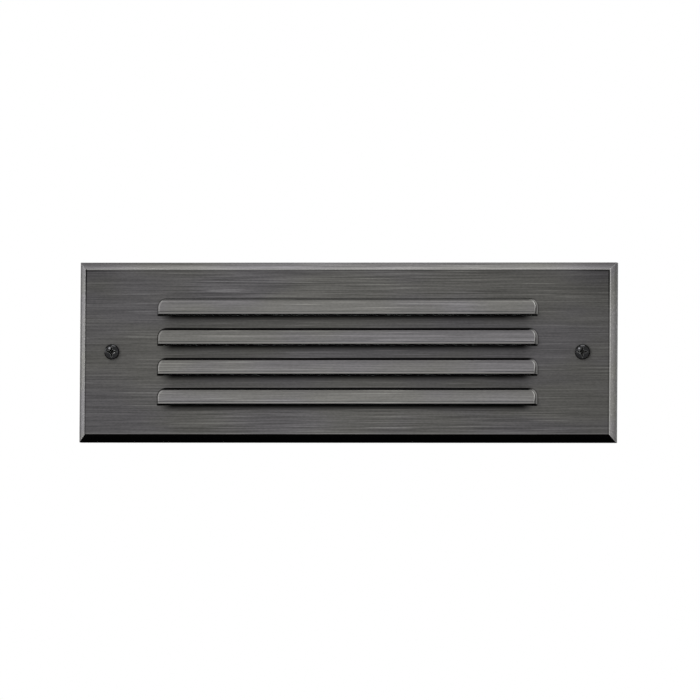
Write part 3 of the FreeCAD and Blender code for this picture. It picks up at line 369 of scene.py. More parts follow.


# %% [markdown]
# ## Shared effects
# Brushed streaks, worn edges, dirt and painted shade in creases, orange peel in paint, grain in
# mouldings and the marks of handling show on several pieces, so each is a node group with its own
# sockets. A group gives out masks and heights only, and the shader stays in the material.

# %% Node helpers
def ramp(value, low, high, to_low=0.0, to_high=1.0):
    """A smooth step from one value to another as the input goes from low to high."""
    node = add(value.tree, "MapRange", interpolation_type="SMOOTHSTEP", From_Min=low, From_Max=high,
               To_Min=to_low, To_Max=to_high)
    feed(value, node.inputs["Value"])
    return Varying(node.outputs["Result"])


def strip(value, start, end, soft=0.1 * mm):
    """1 from a start to an end and 0 outside, with soft edges."""
    return ramp(value, start - soft, start + soft) * ramp(value, end + soft, end - soft)


def mix(factor, first, second):
    """A mix of two colours, each varying or plain."""
    node = add(factor.tree, "Mix", data_type="RGBA")
    factor_socket, first_colour, second_colour = (node.inputs[index] for index in (0, 6, 7))
    feed(factor, factor_socket)
    feed(first, first_colour)
    feed(second, second_colour)
    return Varying(node.outputs[2])


def toned(colour, factor):
    """A colour times a factor, which may darken or brighten it."""
    node = add(colour.tree, "VectorMath", operation="SCALE")
    feed(colour, node.inputs[0])
    feed(factor, node.inputs["Scale"])
    return Varying(node.outputs[0])


def noise(vector, detail=2.0, roughness=0.5):
    node = add(vector.tree, "TexNoise", Scale=1.0, Detail=detail, Roughness=roughness)
    feed(vector, node.inputs["Vector"])
    return Varying(node.outputs["Fac"])


def axes(tree):
    """The three object coordinates, in metres."""
    apart = add(tree, "SeparateXYZ")
    link(tree, add(tree, "TexCoord"), "Object", apart, 0)
    return [Varying(socket) for socket in apart.outputs]


def grained(tree, size, along=None):
    """Object coordinates divided by a grain size, which may be longer along X."""
    scaled = add(tree, "Mapping", Scale=(1 / (along or size), 1 / size, 1 / size))
    link(tree, add(tree, "TexCoord"), "Object", scaled, "Vector")
    return Varying(scaled.outputs[0])


# %% Group helpers
def new_group(name, inputs, outputs):
    """An empty shader group, its inputs as varying values and its output sockets."""
    group = bpy.data.node_groups.new(name, "ShaderNodeTree")
    for title, default in inputs.items():
        socket = group.interface.new_socket(title, in_out="INPUT", socket_type="NodeSocketFloat")
        socket.default_value = default
    for title in outputs:
        group.interface.new_socket(title, in_out="OUTPUT", socket_type="NodeSocketFloat")
    print("group", name)
    return group, named(group.nodes.new("NodeGroupInput").outputs), group.nodes.new("NodeGroupOutput").inputs


def use(tree, group, **settings):
    """Place a group in a material with its own values. Returns what it gives out, by name."""
    node = tree.nodes.new("ShaderNodeGroup")
    node.node_tree = group
    for title, value in settings.items():
        node.inputs[title.replace("_", " ")].default_value = value
    return named(node.outputs)


def sized(size, finer=1.0):
    """Object coordinates divided by a group's own size input."""
    scaled = add(size.tree, "VectorMath", operation="SCALE")
    link(size.tree, add(size.tree, "TexCoord"), "Object", scaled, 0)
    feed(finer / size, scaled.inputs["Scale"])
    return Varying(scaled.outputs[0])


def open_air(reach, samples):
    """1 in the open and towards 0 where the piece itself closes in within a reach."""
    node = add(reach.tree, "AmbientOcclusion", samples=samples, only_local=True)
    feed(reach, node.inputs["Distance"])
    return Varying(node.outputs["AO"])


# %% Brushed streaks
brushed, given, out = new_group(
    "brushed_streaks", {"Length": 40 * mm, "Width": 0.6 * mm}, ["Streaks", "Hairlines", "Nicks"])
x, y, z = axes(brushed)
for title, shorter, finer, offset, detail in (
        ("Streaks", 1.0, 1.0, 0.0, 2.0),
        ("Hairlines", 1.2, 1.35, 31.7, 0.0),
        ("Nicks", 30.0, 1.2, 63.1, 1.0)):
    length = given["Length"] / shorter
    width = given["Width"] / finer
    grain = add(brushed, "CombineXYZ")
    for value, socket in zip((x / length, y / width, z / width + offset), grain.inputs):
        feed(value, socket)
    drawn = noise(Varying(grain.outputs[0]), detail, 0.62)
    feed(ramp(drawn, 0.60, 0.76) if title == "Hairlines" else drawn, out[title])

# %% Worn edges and darkened creases
worn, given, out = new_group("worn_edges", {"Radius": 0.5 * mm, "Break up": 3 * mm}, ["Wear"])
soft = add(worn, "Bevel", samples=6)
feed(given["Radius"], soft.inputs["Radius"])
facing = add(worn, "VectorMath", operation="DOT_PRODUCT")
link(worn, soft, "Normal", facing, 0)
link(worn, add(worn, "NewGeometry"), "Normal", facing, 1)
bent = ramp(Varying(facing.outputs["Value"]), 0.995, 0.86)
exposed = ramp(open_air(given["Radius"] * 2.0, 6), 0.55, 0.8)
ragged = ramp(noise(sized(given["Break up"]), 4.0, 0.6), 0.3, 0.6, 0.35, 1.0)
feed(bent * exposed * ragged, out["Wear"])

# Creases darken where the piece closes in on itself, as dirt and painted shade.
creased, given, out = new_group("dark_creases", {"Reach": 2 * mm}, ["Dirt"])
feed(ramp(open_air(given["Reach"], 8), 0.62, 0.25), out["Dirt"])

# %% Paint, mouldings and handling
peel, given, out = new_group("orange_peel", {"Size": 1.2 * mm}, ["Height", "Speckle"])
feed(noise(sized(given["Size"]), 1.0, 0.4), out["Height"])
feed(ramp(noise(sized(given["Size"], 5.0), 1.0, 0.5), 0.60, 0.72), out["Speckle"])

moulding, given, out = new_group("moulded_grain", {"Size": 0.4 * mm}, ["Height", "Tone"])
pits = add(moulding, "TexVoronoi", feature="SMOOTH_F1", Scale=1.0, Smoothness=0.6)
feed(sized(given["Size"]), pits.inputs["Vector"])
feed(Varying(pits.outputs["Distance"]) + noise(sized(given["Size"], 2.0)), out["Height"])
feed(noise(sized(given["Size"], 0.04), 3.0), out["Tone"])

handled, given, out = new_group("handling_marks", {"Size": 14 * mm}, ["Smudge"])
feed(ramp(noise(sized(given["Size"]), 5.0, 0.65), 0.42, 0.66), out["Smudge"])

# %% [markdown]
# ## Gunmetal
# The plate has a dark patina that was brushed back along its length: fine horizontal streaks and a
# slight drift between warm and cool grey. Light and shade are painted on it as well: painted highlights
# on the lips and ends of the louvers and along the bevels' inner edges, painted light and shade across
# the bevels, and black painted shade in the creases round the hoods, under their lips, inside them, on
# the plate's rear and all over the lower bevel, with darker shade between the louvers and towards the
# upper corners. A black line runs just inside the bevel, and the lower hoods are lighter. Where each of
# these lies is worked out from the plate's own measures, so the pattern stays with the shape.

# %% Material helpers
def new_material(name, **settings):
    """A material with its Principled shader, and constants set on the shader's own sockets."""
    material = bpy.data.materials.new(name)
    material.use_nodes = True
    shader = material.node_tree.nodes["Principled BSDF"]
    for title, value in settings.items():
        shader.inputs[title.replace("_", " ")].default_value = value
    print("finish", name)
    return material, material.node_tree, shader


def finish(shader, colour, roughness, height, distance, strength=0.3):
    """Give a shader its colour and roughness, and let a height show as relief."""
    relief = add(shader.id_data, "Bump", Strength=strength, Distance=distance)
    feed(height, relief.inputs["Height"])
    feed(Varying(relief.outputs["Normal"]), shader.inputs["Normal"])
    feed(colour, shader.inputs["Base Color"])
    feed(roughness, shader.inputs["Roughness"])


# %% Where the plate's features are
SIDE_BEVEL = 2.6 * mm
LONG_BEVEL = 3.2 * mm
BEVEL_REAR = -4.65 * mm
PLATE_FACE = -7.5 * mm
WEB_REAR = -4.5 * mm
RIM = 2.9 * mm
LOUVER_COUNT = 4
LOUVER_PITCH = 13.73 * mm
LOUVER_TOP = 24.445 * mm
LOUVER_END = 87.35 * mm
ROW_START = 1.6 * mm
HOOD_CORNER = 4.0 * mm
HOOD_LEDGE = 0.55 * mm
HOOD_DROP = 6.4 * mm
HOOD_SLOPE = 3.25 / 6.4
SLOT_BOTTOM = 7.7 * mm
LIP_DROP = 0.85 * mm
LIP = HOOD_DROP + LIP_DROP
LIP_LINE = 0.9 * mm
LIP_SHADE = 3.3 * mm
inner_x = plate_high.x - SIDE_BEVEL
inner_z = plate_high.z - LONG_BEVEL
print("face between the bevels", round(2 * inner_x / mm, 1), "x", round(2 * inner_z / mm, 1), "mm")

# %% Round the louvers
def louver_row(z):
    """How far a height lies below the top of its own louver, and which louver that is, from 0."""
    row = maths("FLOOR", (LOUVER_TOP + ROW_START - z) / LOUVER_PITCH)
    row = maths("MINIMUM", row, LOUVER_COUNT - 1) | 0.0
    return LOUVER_TOP - row * LOUVER_PITCH - z, row


def from_face(y, none, full):
    """0 at one distance from the plate's face and 1 at another, in millimetres towards the wall."""
    return ramp(y, PLATE_FACE + none * mm, PLATE_FACE + full * mm)


def distance(first, second):
    """How far a point is from where both values are 0."""
    return maths("SQRT", first * first + second * second)


def hood_outline(x, below):
    """Distance outwards from the louver's rounded outline."""
    across = (abs(x) - (LOUVER_END - HOOD_CORNER)) | 0.0
    upwards = (HOOD_CORNER - below) | 0.0
    return distance(across, upwards) - HOOD_CORNER


def shade_line_round_hoods(x, y, below, row):
    """A thin black line of painted shade in the crease round each hood, weaker on the uppermost one and
    at the hoods' ends."""
    end_line = (LOUVER_END - HOOD_CORNER, LOUVER_END - 0.5 * mm)
    inner = ramp(abs(x), *end_line, -0.70 * mm, 0.0)
    outer = ramp(abs(x), *end_line, 0.35 * mm, 0.40 * mm)
    away = hood_outline(x, below) - ramp(x, *end_line, 0.0, 0.55 * mm)
    line = ramp(away - inner, -0.12 * mm, 0.05 * mm) * ramp(away - outer, 0.12 * mm, -0.12 * mm)
    above_the_lip = ramp(below, LIP + 0.3 * mm, LIP - 0.3 * mm)
    at_the_ends = ramp(abs(x), *end_line, 1.0, 0.75) * ramp(x, *end_line, 1.0, 0.40)
    return line * from_face(y, 0.4, 0.2) * above_the_lip * ramp(row, 0.0, 1.0, 0.65, 1.0) * at_the_ends


def shade_under_lips(x, y, below):
    """Painted shadow on the face close under each lip: black, then fading down. The underside of the
    lip is painted black as shade as well."""
    inwards = LOUVER_END - abs(x)
    corner = ramp(below, LIP + LIP_LINE, LIP + 0.5 * LIP_LINE) * ramp(inwards, -0.7 * mm, -0.1 * mm)
    fading = (ramp(below, SLOT_BOTTOM + LIP_SHADE, SLOT_BOTTOM - 0.1 * mm)
              * ramp(inwards, 0.5 * mm, 7.0 * mm))
    on_the_face = from_face(y, -0.6, -0.2) * ramp(below, LIP - 0.3 * mm, LIP - 0.1 * mm)
    underside = ramp(below, LIP - 0.22 * mm, LIP - 0.10 * mm) * from_face(y, -0.1, -0.3)
    return (corner | fading) * on_the_face | underside


def painted_hood_highlights(x, y, below):
    """Painted highlights: a bright line along each lip and bright ends of the hoods, strongest at the right.
    """
    lip = strip(below, LIP - 0.85 * mm, LIP - 0.20 * mm) * from_face(y, -0.9, -1.4)
    away = hood_outline(x, below)
    left_end = (strip(away, -1.0 * mm, -0.4 * mm) * ramp(x, 2.6 * mm - LOUVER_END, 1.6 * mm - LOUVER_END)
                * from_face(y, -0.3, -0.6))
    right_end = (strip(away, -0.62 * mm, 0.40 * mm) * ramp(below, LIP, LIP - 0.2 * mm)
                 * ramp(x, LOUVER_END - 2.6 * mm, LOUVER_END - 1.0 * mm))
    return lip * 0.28 | left_end * 0.14 | right_end * 0.60


def between_louvers(x, y, z):
    """The face between the first hood and the last, which is painted darker as shade."""
    last_top = LOUVER_TOP - (LOUVER_COUNT - 1) * LOUVER_PITCH
    rows = strip(z, last_top, LOUVER_TOP - LIP, 0.3 * mm)
    return rows * from_face(y, -0.3, -0.1) * ramp(abs(x), LOUVER_END, LOUVER_END - 8 * mm)


def shade_inside_hoods(x, y, below):
    """The hoods' inner walls and the slots behind them, painted black as shade."""
    outer_face = below * -HOOD_SLOPE + (PLATE_FACE - HOOD_LEDGE)
    behind = ramp(y - outer_face, 0.5 * mm, 0.8 * mm)
    between_ends = ramp(abs(x), LOUVER_END - 1.6 * mm, LOUVER_END - 1.8 * mm)
    in_the_slot = ramp(below, 0.8 * mm, 1.0 * mm) * ramp(below, SLOT_BOTTOM + 0.2 * mm, SLOT_BOTTOM)
    return behind * between_ends * in_the_slot


# %% Round the face and behind it
def long_side(upright, sideways):
    """1 on the long bevel's side of a mitre and 0 on the side bevel's."""
    return ramp(upright / LONG_BEVEL - sideways / SIDE_BEVEL, -0.04, 0.04)


def near_top_corners(left, right, top):
    """From 0 to 1 towards the face's upper two corners, where painted shade darkens the face."""
    return ramp(distance(left | right, top), 24 * mm, 2 * mm)


def crease_inside_bevel(left, right, top, corners):
    """The black line just inside the bevel, strongest by the upper corners."""
    line = strip(left, -0.70 * mm, -0.10 * mm) | strip(right | top, -1.00 * mm, -0.50 * mm)
    return line * ramp(left | right | top, 0.10 * mm, 0.0) * (corners * 0.50 + 0.35)


def painted_rim_highlights(left, right, top, low):
    """A painted highlight where face and bevel meet: clear on top and at the right, faint at the bottom."""
    above = strip(top, -0.30 * mm, 0.05 * mm) * long_side(top, left | right)
    right_hand = (strip(right, -0.30 * mm, 0.10 * mm) * ramp(top, 0.5 * mm, 0.0)
                  * ramp(low, 0.5 * mm, 0.0))
    under = strip(low, -1.00 * mm, -0.55 * mm) * ramp(left | right, 0.0, -0.3 * mm)
    return above * 0.45 | right_hand * 0.70 | under * 0.13


def bevel_light_and_shade(y, left, right, top):
    """Painted light and shade on the bevels: bright inside and dark outside on top and at the right, and
    a dark outer third at the left. The walls behind them are painted dark as shade."""
    upper = (ramp(top, -0.05 * mm, 0.05 * mm, 1.0, 1.58)
             * ramp(top, 0.0, 0.9 * LONG_BEVEL, 1.0, 0.50))
    right_hand = (ramp(right, 0.0, 0.1 * mm, 1.0, 1.30)
                  * ramp(right, 0.2 * SIDE_BEVEL, SIDE_BEVEL, 1.0, 0.58))
    sides = right_hand * ramp(left, 0.55 * SIDE_BEVEL, 0.70 * SIDE_BEVEL, 1.0, 0.50)
    walls = ramp(y, BEVEL_REAR - 0.1 * mm, BEVEL_REAR + 0.2 * mm, 1.0, 0.18)
    return ((upper - sides) * long_side(top, left | right) + sides) * walls


def shade_behind_web(x, y, z):
    """The plate's rear between the rims, painted black as shade inside the box."""
    past_rims = (abs(x) - (plate_high.x - RIM)) | (abs(z) - (plate_high.z - RIM))
    return ramp(past_rims, 0.0, -0.1 * mm) * ramp(y, WEB_REAR - 0.2 * mm, WEB_REAR - 0.1 * mm)


# %% Gunmetal
WARM_GREY = (0.0742, 0.0728, 0.0686, 1)
COOL_GREY = (0.0725, 0.0703, 0.0725, 1)
# The bright metal is for wear and painted highlights, and the near black for patina and painted shade.
WEAR_AND_HIGHLIGHT_METAL = (0.335, 0.33, 0.32, 1)
PATINA_AND_SHADE = (0.0006, 0.0006, 0.0006, 1)
HARD_BRUSHED = (95 * mm, 55 * mm)

gunmetal, tree, shader = new_material("gunmetal_patina", Metallic=1.0)
streaks = use(tree, brushed, Length=44 * mm, Width=0.68 * mm)
wear = use(tree, worn, Radius=0.55 * mm, Break_up=6 * mm)
creases = use(tree, creased, Reach=1.2 * mm)
x, y, z = axes(tree)
below, row = louver_row(z)
left, right, top, low = x * -1.0 - inner_x, x - inner_x, z - inner_z, z * -1.0 - inner_z
corners = near_top_corners(left, right, top)

brushed_hard = ramp(abs(z), LOUVER_TOP - 0.5 * mm, LOUVER_TOP + 1.5 * mm) * ramp(abs(x), *HARD_BRUSHED)
swing = ramp(streaks["Streaks"], 0.30, 0.70) - 0.5
soft_bands = swing * (brushed_hard * 0.34 + 0.34) + 1.0
bright_lines = ramp(streaks["Hairlines"], 0.0, 1.0, 1.0, 1.45)
nicks = ramp(streaks["Nicks"], 0.3, 0.7, 0.93, 1.07)
# Painted shade towards the upper corners, stronger at the right.
corner_shade = corners * ramp(x, -inner_x, inner_x, -0.18, -0.30) + 1.0
# Painted shade on the face between the louvers.
shade_between_louvers = between_louvers(x, y, z) * -0.20 + 1.0
# The lower hoods are lighter, the last one most.
lower_hoods_lighter = ramp(row, 0.0, 3.0) * from_face(y, -0.2, -0.5) * 0.16 + 1.0

drift = ramp(noise(grained(tree, 21 * mm, 60 * mm)), 0.38, 0.62)
tone = toned(mix(drift, WARM_GREY, COOL_GREY),
             soft_bands * bright_lines * nicks * corner_shade * shade_between_louvers * lower_hoods_lighter
             * bevel_light_and_shade(y, left, right, top))
# Real wear on the edges, plus painted highlights on the hoods and along the bevels' inner edges.
wear_and_highlights = wear["Wear"] * 0.50 | painted_hood_highlights(x, y, below) | painted_rim_highlights(left, right, top, low)
# The lower bevel faces down and is painted black as shade.
lower_bevel_shade = ramp(low, -0.45 * mm, -0.30 * mm) * long_side(low, left | right)
# Patina and painted shade: black round, under and inside the hoods, inside the bevel, on the plate's rear,
# on the lower bevel and in the creases.
patina_and_shade = (shade_line_round_hoods(x, y, below, row) | shade_under_lips(x, y, below) | shade_inside_hoods(x, y, below)
          | crease_inside_bevel(left, right, top, corners) | shade_behind_web(x, y, z) | lower_bevel_shade
          | creases["Dirt"] * 0.7)
finish(shader, mix(patina_and_shade, mix(wear_and_highlights, tone, WEAR_AND_HIGHLIGHT_METAL), PATINA_AND_SHADE),
       ramp(streaks["Streaks"], 0.3, 0.7, 0.41, 0.51),
       streaks["Streaks"] + streaks["Hairlines"], 0.04 * mm, 0.25)

# %% [markdown]
# ## Faceplate
# The lips of the louvers come down nearly a millimetre further on the photographed plate than on the
# frame's, so their lower edges are moved down by that much, one louver after the other. The edges are
# rounded after that, so that the lips get their rounding too.

# %% Picking and closing
def pick(kind, test):
    """In edit mode, select the faces or vertices whose place and normal pass a test."""
    bpy.ops.mesh.select_mode(type=kind)
    bpy.ops.mesh.select_all(action="DESELECT")
    mesh = bmesh.from_edit_mesh(bpy.context.object.data)
    for part in mesh.faces if kind == "FACE" else mesh.verts:
        place = part.calc_center_median() if kind == "FACE" else part.co
        if test(place, part.normal):
            part.select_set(True)
    mesh.select_flush_mode()
    bmesh.update_edit_mesh(bpy.context.object.data)


def done():
    """Turn all faces outwards and leave edit mode."""
    bpy.ops.mesh.select_all(action="SELECT")
    bpy.ops.mesh.normals_make_consistent(inside=False)
    bpy.ops.object.mode_set(mode="OBJECT")
    return bpy.context.object


# %% Faceplate
LIP_CORNER = 0.4 * mm
LIP_FRONT = 0.5 * mm

faceplate = merged_copy("faceplate", "faceplate_casting")
edit("DESELECT")
for index in range(LOUVER_COUNT):
    lip_z = LOUVER_TOP - index * LOUVER_PITCH - HOOD_DROP
    pick("VERT", lambda place, normal: place.y < PLATE_FACE + WELD
         and lip_z - WELD < place.z < lip_z + LIP_CORNER
         and (place.z < lip_z + WELD or place.y < plate_low.y + LIP_FRONT))
    bpy.ops.transform.translate(value=(0, 0, -LIP_DROP))
bpy.ops.object.mode_set(mode="OBJECT")
round_edges(faceplate, 0.30 * mm, segments=3)
even_shading(faceplate)
hand_in(faceplate, "faceplate", gunmetal)

# %% [markdown]
# ## Screws
# The two face screws are what the eye looks for on the plate: black glossy pan heads with a
# four-pointed recess whose rim catches the light. A screw is turned, so its head is made as on a
# lathe, ring after ring: a disc is extruded and each new ring is scaled to its radius. The recess is
# a tapered star, cut out with a boolean. The thread is one tooth that goes round with the Screw
# modifier, a turn for each pitch, and is then cut off square at both ends. Every screw is made at
# the origin with its seat on y = 0 and its shank along +Y, and then copied to where it sits.

# %% Modelling helpers
def extrude(step, scale=(1, 1, 1), centre=(0, 0, 0)):
    """Extrude the selected face by a step, and scale the new one about a centre."""
    bpy.ops.mesh.extrude_region_move(TRANSFORM_OT_translate={"value": step})
    bpy.ops.transform.resize(value=scale, center_override=centre)


def disc(radius, y, sides):
    """A filled circle that faces along Y, as the start of a turned or tapered piece."""
    piece = start(bpy.ops.mesh.primitive_circle_add, vertices=sides, radius=radius, fill_type="NGON",
                  location=(0, y, 0), rotation=(math.pi / 2, 0, 0))
    bpy.ops.object.transform_apply()
    return piece


def turned(name, rings, sides=48):
    """A part turned about the Y axis. Rings are (radius, y) pairs, in order along it."""
    piece = disc(*rings[0], sides)
    piece.name = name
    edit()
    for (before, near), (radius, far) in zip(rings, rings[1:]):
        extrude((0, far - near, 0), (radius / before, 1, radius / before))
    return done()


def combine(piece, tool, operation="DIFFERENCE"):
    """Cut a tool out of a piece, or join it on, and remove the tool."""
    apply(piece, "BOOLEAN", operation=operation, solver="EXACT", object=tool)
    bpy.data.objects.remove(tool)


def turn_round(piece):
    """Turn a screw's head from the front to the rear."""
    piece.data.transform(Matrix.Rotation(math.pi, 4, "X"))


# %% Thread
THREAD_STEPS = 20
THREAD_DEPTH = 0.54
TIP = 0.6
SUNK_SHARE = 0.1


def threaded(radius, pitch, length):
    """A threaded shank from y = 0 to its length, with a short plain point."""
    depth = THREAD_DEPTH * pitch
    cut_end = length - TIP * pitch
    shank = start(bpy.ops.mesh.primitive_circle_add, vertices=4, radius=pitch / 2)
    edit()
    pick("VERT", lambda place, normal: place.x < -pitch / 4)
    bpy.ops.mesh.delete(type="VERT")
    bpy.ops.mesh.select_all(action="SELECT")
    bpy.ops.transform.resize(value=(2 * depth / pitch, 1, 1), center_override=(0, 0, 0))
    bpy.ops.transform.translate(value=(radius - depth, -pitch, 0))
    bpy.ops.object.mode_set(mode="OBJECT")
    apply(shank, "SCREW", axis="Y", angle=2 * math.pi, screw_offset=pitch,
          iterations=math.ceil(length / pitch) + 2, steps=THREAD_STEPS, render_steps=THREAD_STEPS)
    edit()
    bpy.ops.mesh.remove_doubles(threshold=WELD)
    bpy.ops.mesh.bisect(plane_co=(0, 0, 0), plane_no=(0, -1, 0), clear_outer=True, use_fill=True)
    bpy.ops.mesh.select_all(action="SELECT")
    bpy.ops.mesh.bisect(plane_co=(0, cut_end, 0), plane_no=(0, 1, 0), clear_outer=True, use_fill=True)
    pick("FACE", lambda place, normal: place.y > cut_end - WELD and abs(normal.y) > 0.9)
    extrude((0, length - cut_end, 0), (0.8, 1, 0.8))
    return done()


def join_shank(screw, head_height, radius, pitch, length):
    """Join a threaded shank on, which starts a little inside the head."""
    sunk = SUNK_SHARE * head_height
    shank = threaded(radius, pitch, length + sunk)
    move(shank, (0, -sunk, 0))
    combine(screw, shank, "UNION")
    even_shading(screw)


# %% Head and recess
DOME_SHARE = 0.52
DOME_RINGS = 10
RECESS_REACH = 0.80
RECESS_DEPTH = 0.62
RECESS_WAIST = 0.32
RECESS_ROUNDING = 0.16
RECESS_STRAIGHT = 0.55
RECESS_FLOOR = 0.50
ABOVE_THE_HEAD = 0.3


def pan_head(name, radius, height):
    """A shallow dome on a straight rim, with its seat on y = 0."""
    rise = DOME_SHARE * height
    curve = (radius ** 2 + rise ** 2) / (2 * rise)
    steepest = math.asin(radius / curve)
    rings = []
    for step in range(1, DOME_RINGS + 1):
        angle = steepest * step / DOME_RINGS
        rings.append((curve * math.sin(angle), curve * (1 - math.cos(angle)) - height))
    return turned(name, rings + [(radius, 0)])


def star_cutter(reach, top, depth):
    """A four-pointed star that goes down straight and then narrows to its floor. Every second corner
    of a disc is drawn in to make it."""
    start_y = -top - ABOVE_THE_HEAD * depth
    disc(reach, start_y, 8)
    edit("DESELECT")
    pick("VERT", lambda place, normal: min(abs(place.x), abs(place.z)) > 0.2 * reach)
    bpy.ops.transform.resize(value=(RECESS_WAIST,) * 3, center_override=(0, start_y, 0))
    bpy.ops.mesh.bevel(offset=RECESS_ROUNDING * reach, segments=3, affect="VERTICES")
    bpy.ops.mesh.select_all(action="SELECT")
    extrude((0, (ABOVE_THE_HEAD + RECESS_STRAIGHT) * depth, 0))
    extrude((0, (1 - RECESS_STRAIGHT) * depth, 0), (RECESS_FLOOR, 1, RECESS_FLOOR))
    return done()


def machine_screw(name, low, high, head_height, shank_radius, pitch):
    """A pan-head screw with a star recess and a real thread, as long and wide as a box says."""
    head_radius = (high.x - low.x) / 2
    screw = pan_head(name, head_radius, head_height)
    combine(screw, star_cutter(RECESS_REACH * head_radius, head_height, RECESS_DEPTH * head_height))
    round_edges(screw, 0.05 * head_radius, segments=3)
    join_shank(screw, head_height, shank_radius, pitch, high.y - low.y - head_height)
    return screw


def seat(low, high, y):
    """The point at a depth on the axis of a screw's box."""
    return Vector(((low.x + high.x) / 2, y, (low.z + high.z) / 2))


# %% Black screw finish
BLACK_OXIDE = (0.023, 0.023, 0.024, 1)
SHADE_BLACK = (0.003, 0.003, 0.003, 1)
BARE_STEEL = (0.36, 0.36, 0.35, 1)
FACE_SCREW_X = 108.6 * mm
DOME_CURVE = 5.2 * mm
SCREW_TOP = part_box("face_screw_left")[0].y


def smudged(tree, size, smooth, rough):
    """The roughness of a surface that hands have touched in patches."""
    return ramp(use(tree, handled, Size=size)["Smudge"], 0.0, 1.0, smooth, rough)


black_screw, tree, shader = new_material("glossy_black_screw", Metallic=1.0)
wear = use(tree, worn, Radius=0.30 * mm, Break_up=1.2 * mm)
x, y, z = axes(tree)
from_centre = distance(abs(x) - FACE_SCREW_X, z)
rubbed = wear["Wear"] * ramp(from_centre, 3.0 * mm, 2.6 * mm) * 0.75
# The recess and the steep rim of the head are painted near black as shade.
dome = from_centre * from_centre * (1 / (2 * DOME_CURVE)) + SCREW_TOP
in_the_recess = ramp(y - dome, 0.15 * mm, 0.40 * mm)
at_the_rim = ramp(from_centre, 3.0 * mm, 3.2 * mm)
finish(shader, mix(rubbed, mix(in_the_recess | at_the_rim, BLACK_OXIDE, SHADE_BLACK), BARE_STEEL),
       smudged(tree, 3 * mm, 0.10, 0.18), noise(grained(tree, 0.25 * mm)), 0.004 * mm)

# %% Face screws
FACE_HEAD_HEIGHT = 2.5 * mm
FACE_SHANK_RADIUS = 1.75 * mm
FACE_PITCH = 0.794 * mm

for side in ("left", "right"):
    low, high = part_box(f"face_screw_{side}")
    screw = machine_screw(f"{side}_face_screw", low, high, FACE_HEAD_HEIGHT, FACE_SHANK_RADIUS, FACE_PITCH)
    move(screw, seat(low, high, low.y + FACE_HEAD_HEIGHT))
    hand_in(screw, f"face_screw_{side}", black_screw)

# %% [markdown]
# ## Small screws
# Five sets of pan-head screws hold the lens frame, the tray, the board, the driver and the terminal
# block. Each set's screw is made once, at the length that the frame gives it, and copied to each
# place. They are zinc plated: a pale metal with a faint drift between yellow and blue.

# %% Copying helpers
def solids_of(node):
    """The lowest and highest corner of each separate solid of a node."""
    merged_copy(node, "measured")
    bpy.ops.object.mode_set(mode="EDIT")
    bpy.ops.mesh.separate(type="LOOSE")
    bpy.ops.object.mode_set(mode="OBJECT")
    boxes = []
    for solid in bpy.context.selected_objects:
        along = list(zip(*(vertex.co for vertex in solid.data.vertices)))
        boxes.append((Vector(map(min, along)), Vector(map(max, along))))
    bpy.ops.object.delete()
    return sorted(boxes, key=lambda box: (round(box[0].x, 5), round(box[0].z, 5)))


def set_out(piece, seats):
    """Copies of a piece at several places, joined into one object."""
    twins = []
    for place in seats[1:]:
        twin = piece.copy()
        twin.data = piece.data.copy()
        bpy.context.scene.collection.objects.link(twin)
        move(twin, place)
        twins.append(twin)
    move(piece, seats[0])
    only(piece)
    for twin in twins:
        twin.select_set(True)
    bpy.ops.object.join()


# %% Zinc finish
ZINC_YELLOW = (0.62, 0.60, 0.53, 1)
ZINC_BLUE = (0.54, 0.57, 0.61, 1)
DULL_ZINC = (0.20, 0.20, 0.19, 1)

zinc, tree, shader = new_material("zinc_plate", Metallic=1.0)
drift = ramp(noise(grained(tree, 2.5 * mm)), 0.35, 0.65)
creases = use(tree, creased, Reach=0.8 * mm)
# Creases darken towards the dull zinc, as dirt and painted shade.
finish(shader, mix(creases["Dirt"] * 0.8, mix(drift, ZINC_YELLOW, ZINC_BLUE), DULL_ZINC),
       smudged(tree, 2.5 * mm, 0.24, 0.40), noise(grained(tree, 0.2 * mm), 3.0), 0.005 * mm)

# %% Small screws
PAN_HEAD_HEIGHT = 2.0 * mm
SMALL_SHANK_RADIUS = 1.5 * mm
SMALL_PITCH = 0.5 * mm


def small_screws(node, name, faces_rear=False):
    """The pan-head screws of a node, with heads to the front or to the rear."""
    boxes = solids_of(node)
    screw = machine_screw(name, *boxes[0], PAN_HEAD_HEIGHT, SMALL_SHANK_RADIUS, SMALL_PITCH)
    if faces_rear:
        turn_round(screw)
        seats = [seat(low, high, high.y - PAN_HEAD_HEIGHT) for low, high in boxes]
    else:
        seats = [seat(low, high, low.y + PAN_HEAD_HEIGHT) for low, high in boxes]
    set_out(screw, seats)
    hand_in(screw, node, zinc)


small_screws("lens_frame_screws", "frame_pan_screws")
small_screws("tray_screws", "tray_pan_screws")
small_screws("board_screws", "board_pan_screws")
small_screws("driver_screws", "driver_pan_screws", faces_rear=True)
small_screws("terminal_block_screws", "block_pan_screws", faces_rear=True)

# %% [markdown]
# ## Rubber
# The gasket behind the plate, the one behind the lens and the grommet are soft: their edges are
# rounder than those of metal, and the surface is matt with fine pits and a grey bloom. Bump is enough
# for pits that are smaller than a tenth of a millimetre.

# %% Rubber
RUBBER = (0.020, 0.020, 0.022, 1)
BLOOM = (0.055, 0.055, 0.058, 1)

rubber, tree, shader = new_material("seal_rubber", Metallic=0.0, Specular_IOR_Level=0.35)
grain = use(tree, moulding, Size=0.22 * mm)
finish(shader, mix(ramp(grain["Tone"], 0.4, 0.7, 0.0, 0.8), RUBBER, BLOOM),
       ramp(grain["Tone"], 0.3, 0.7, 0.66, 0.84), grain["Height"], 0.05 * mm, 0.5)

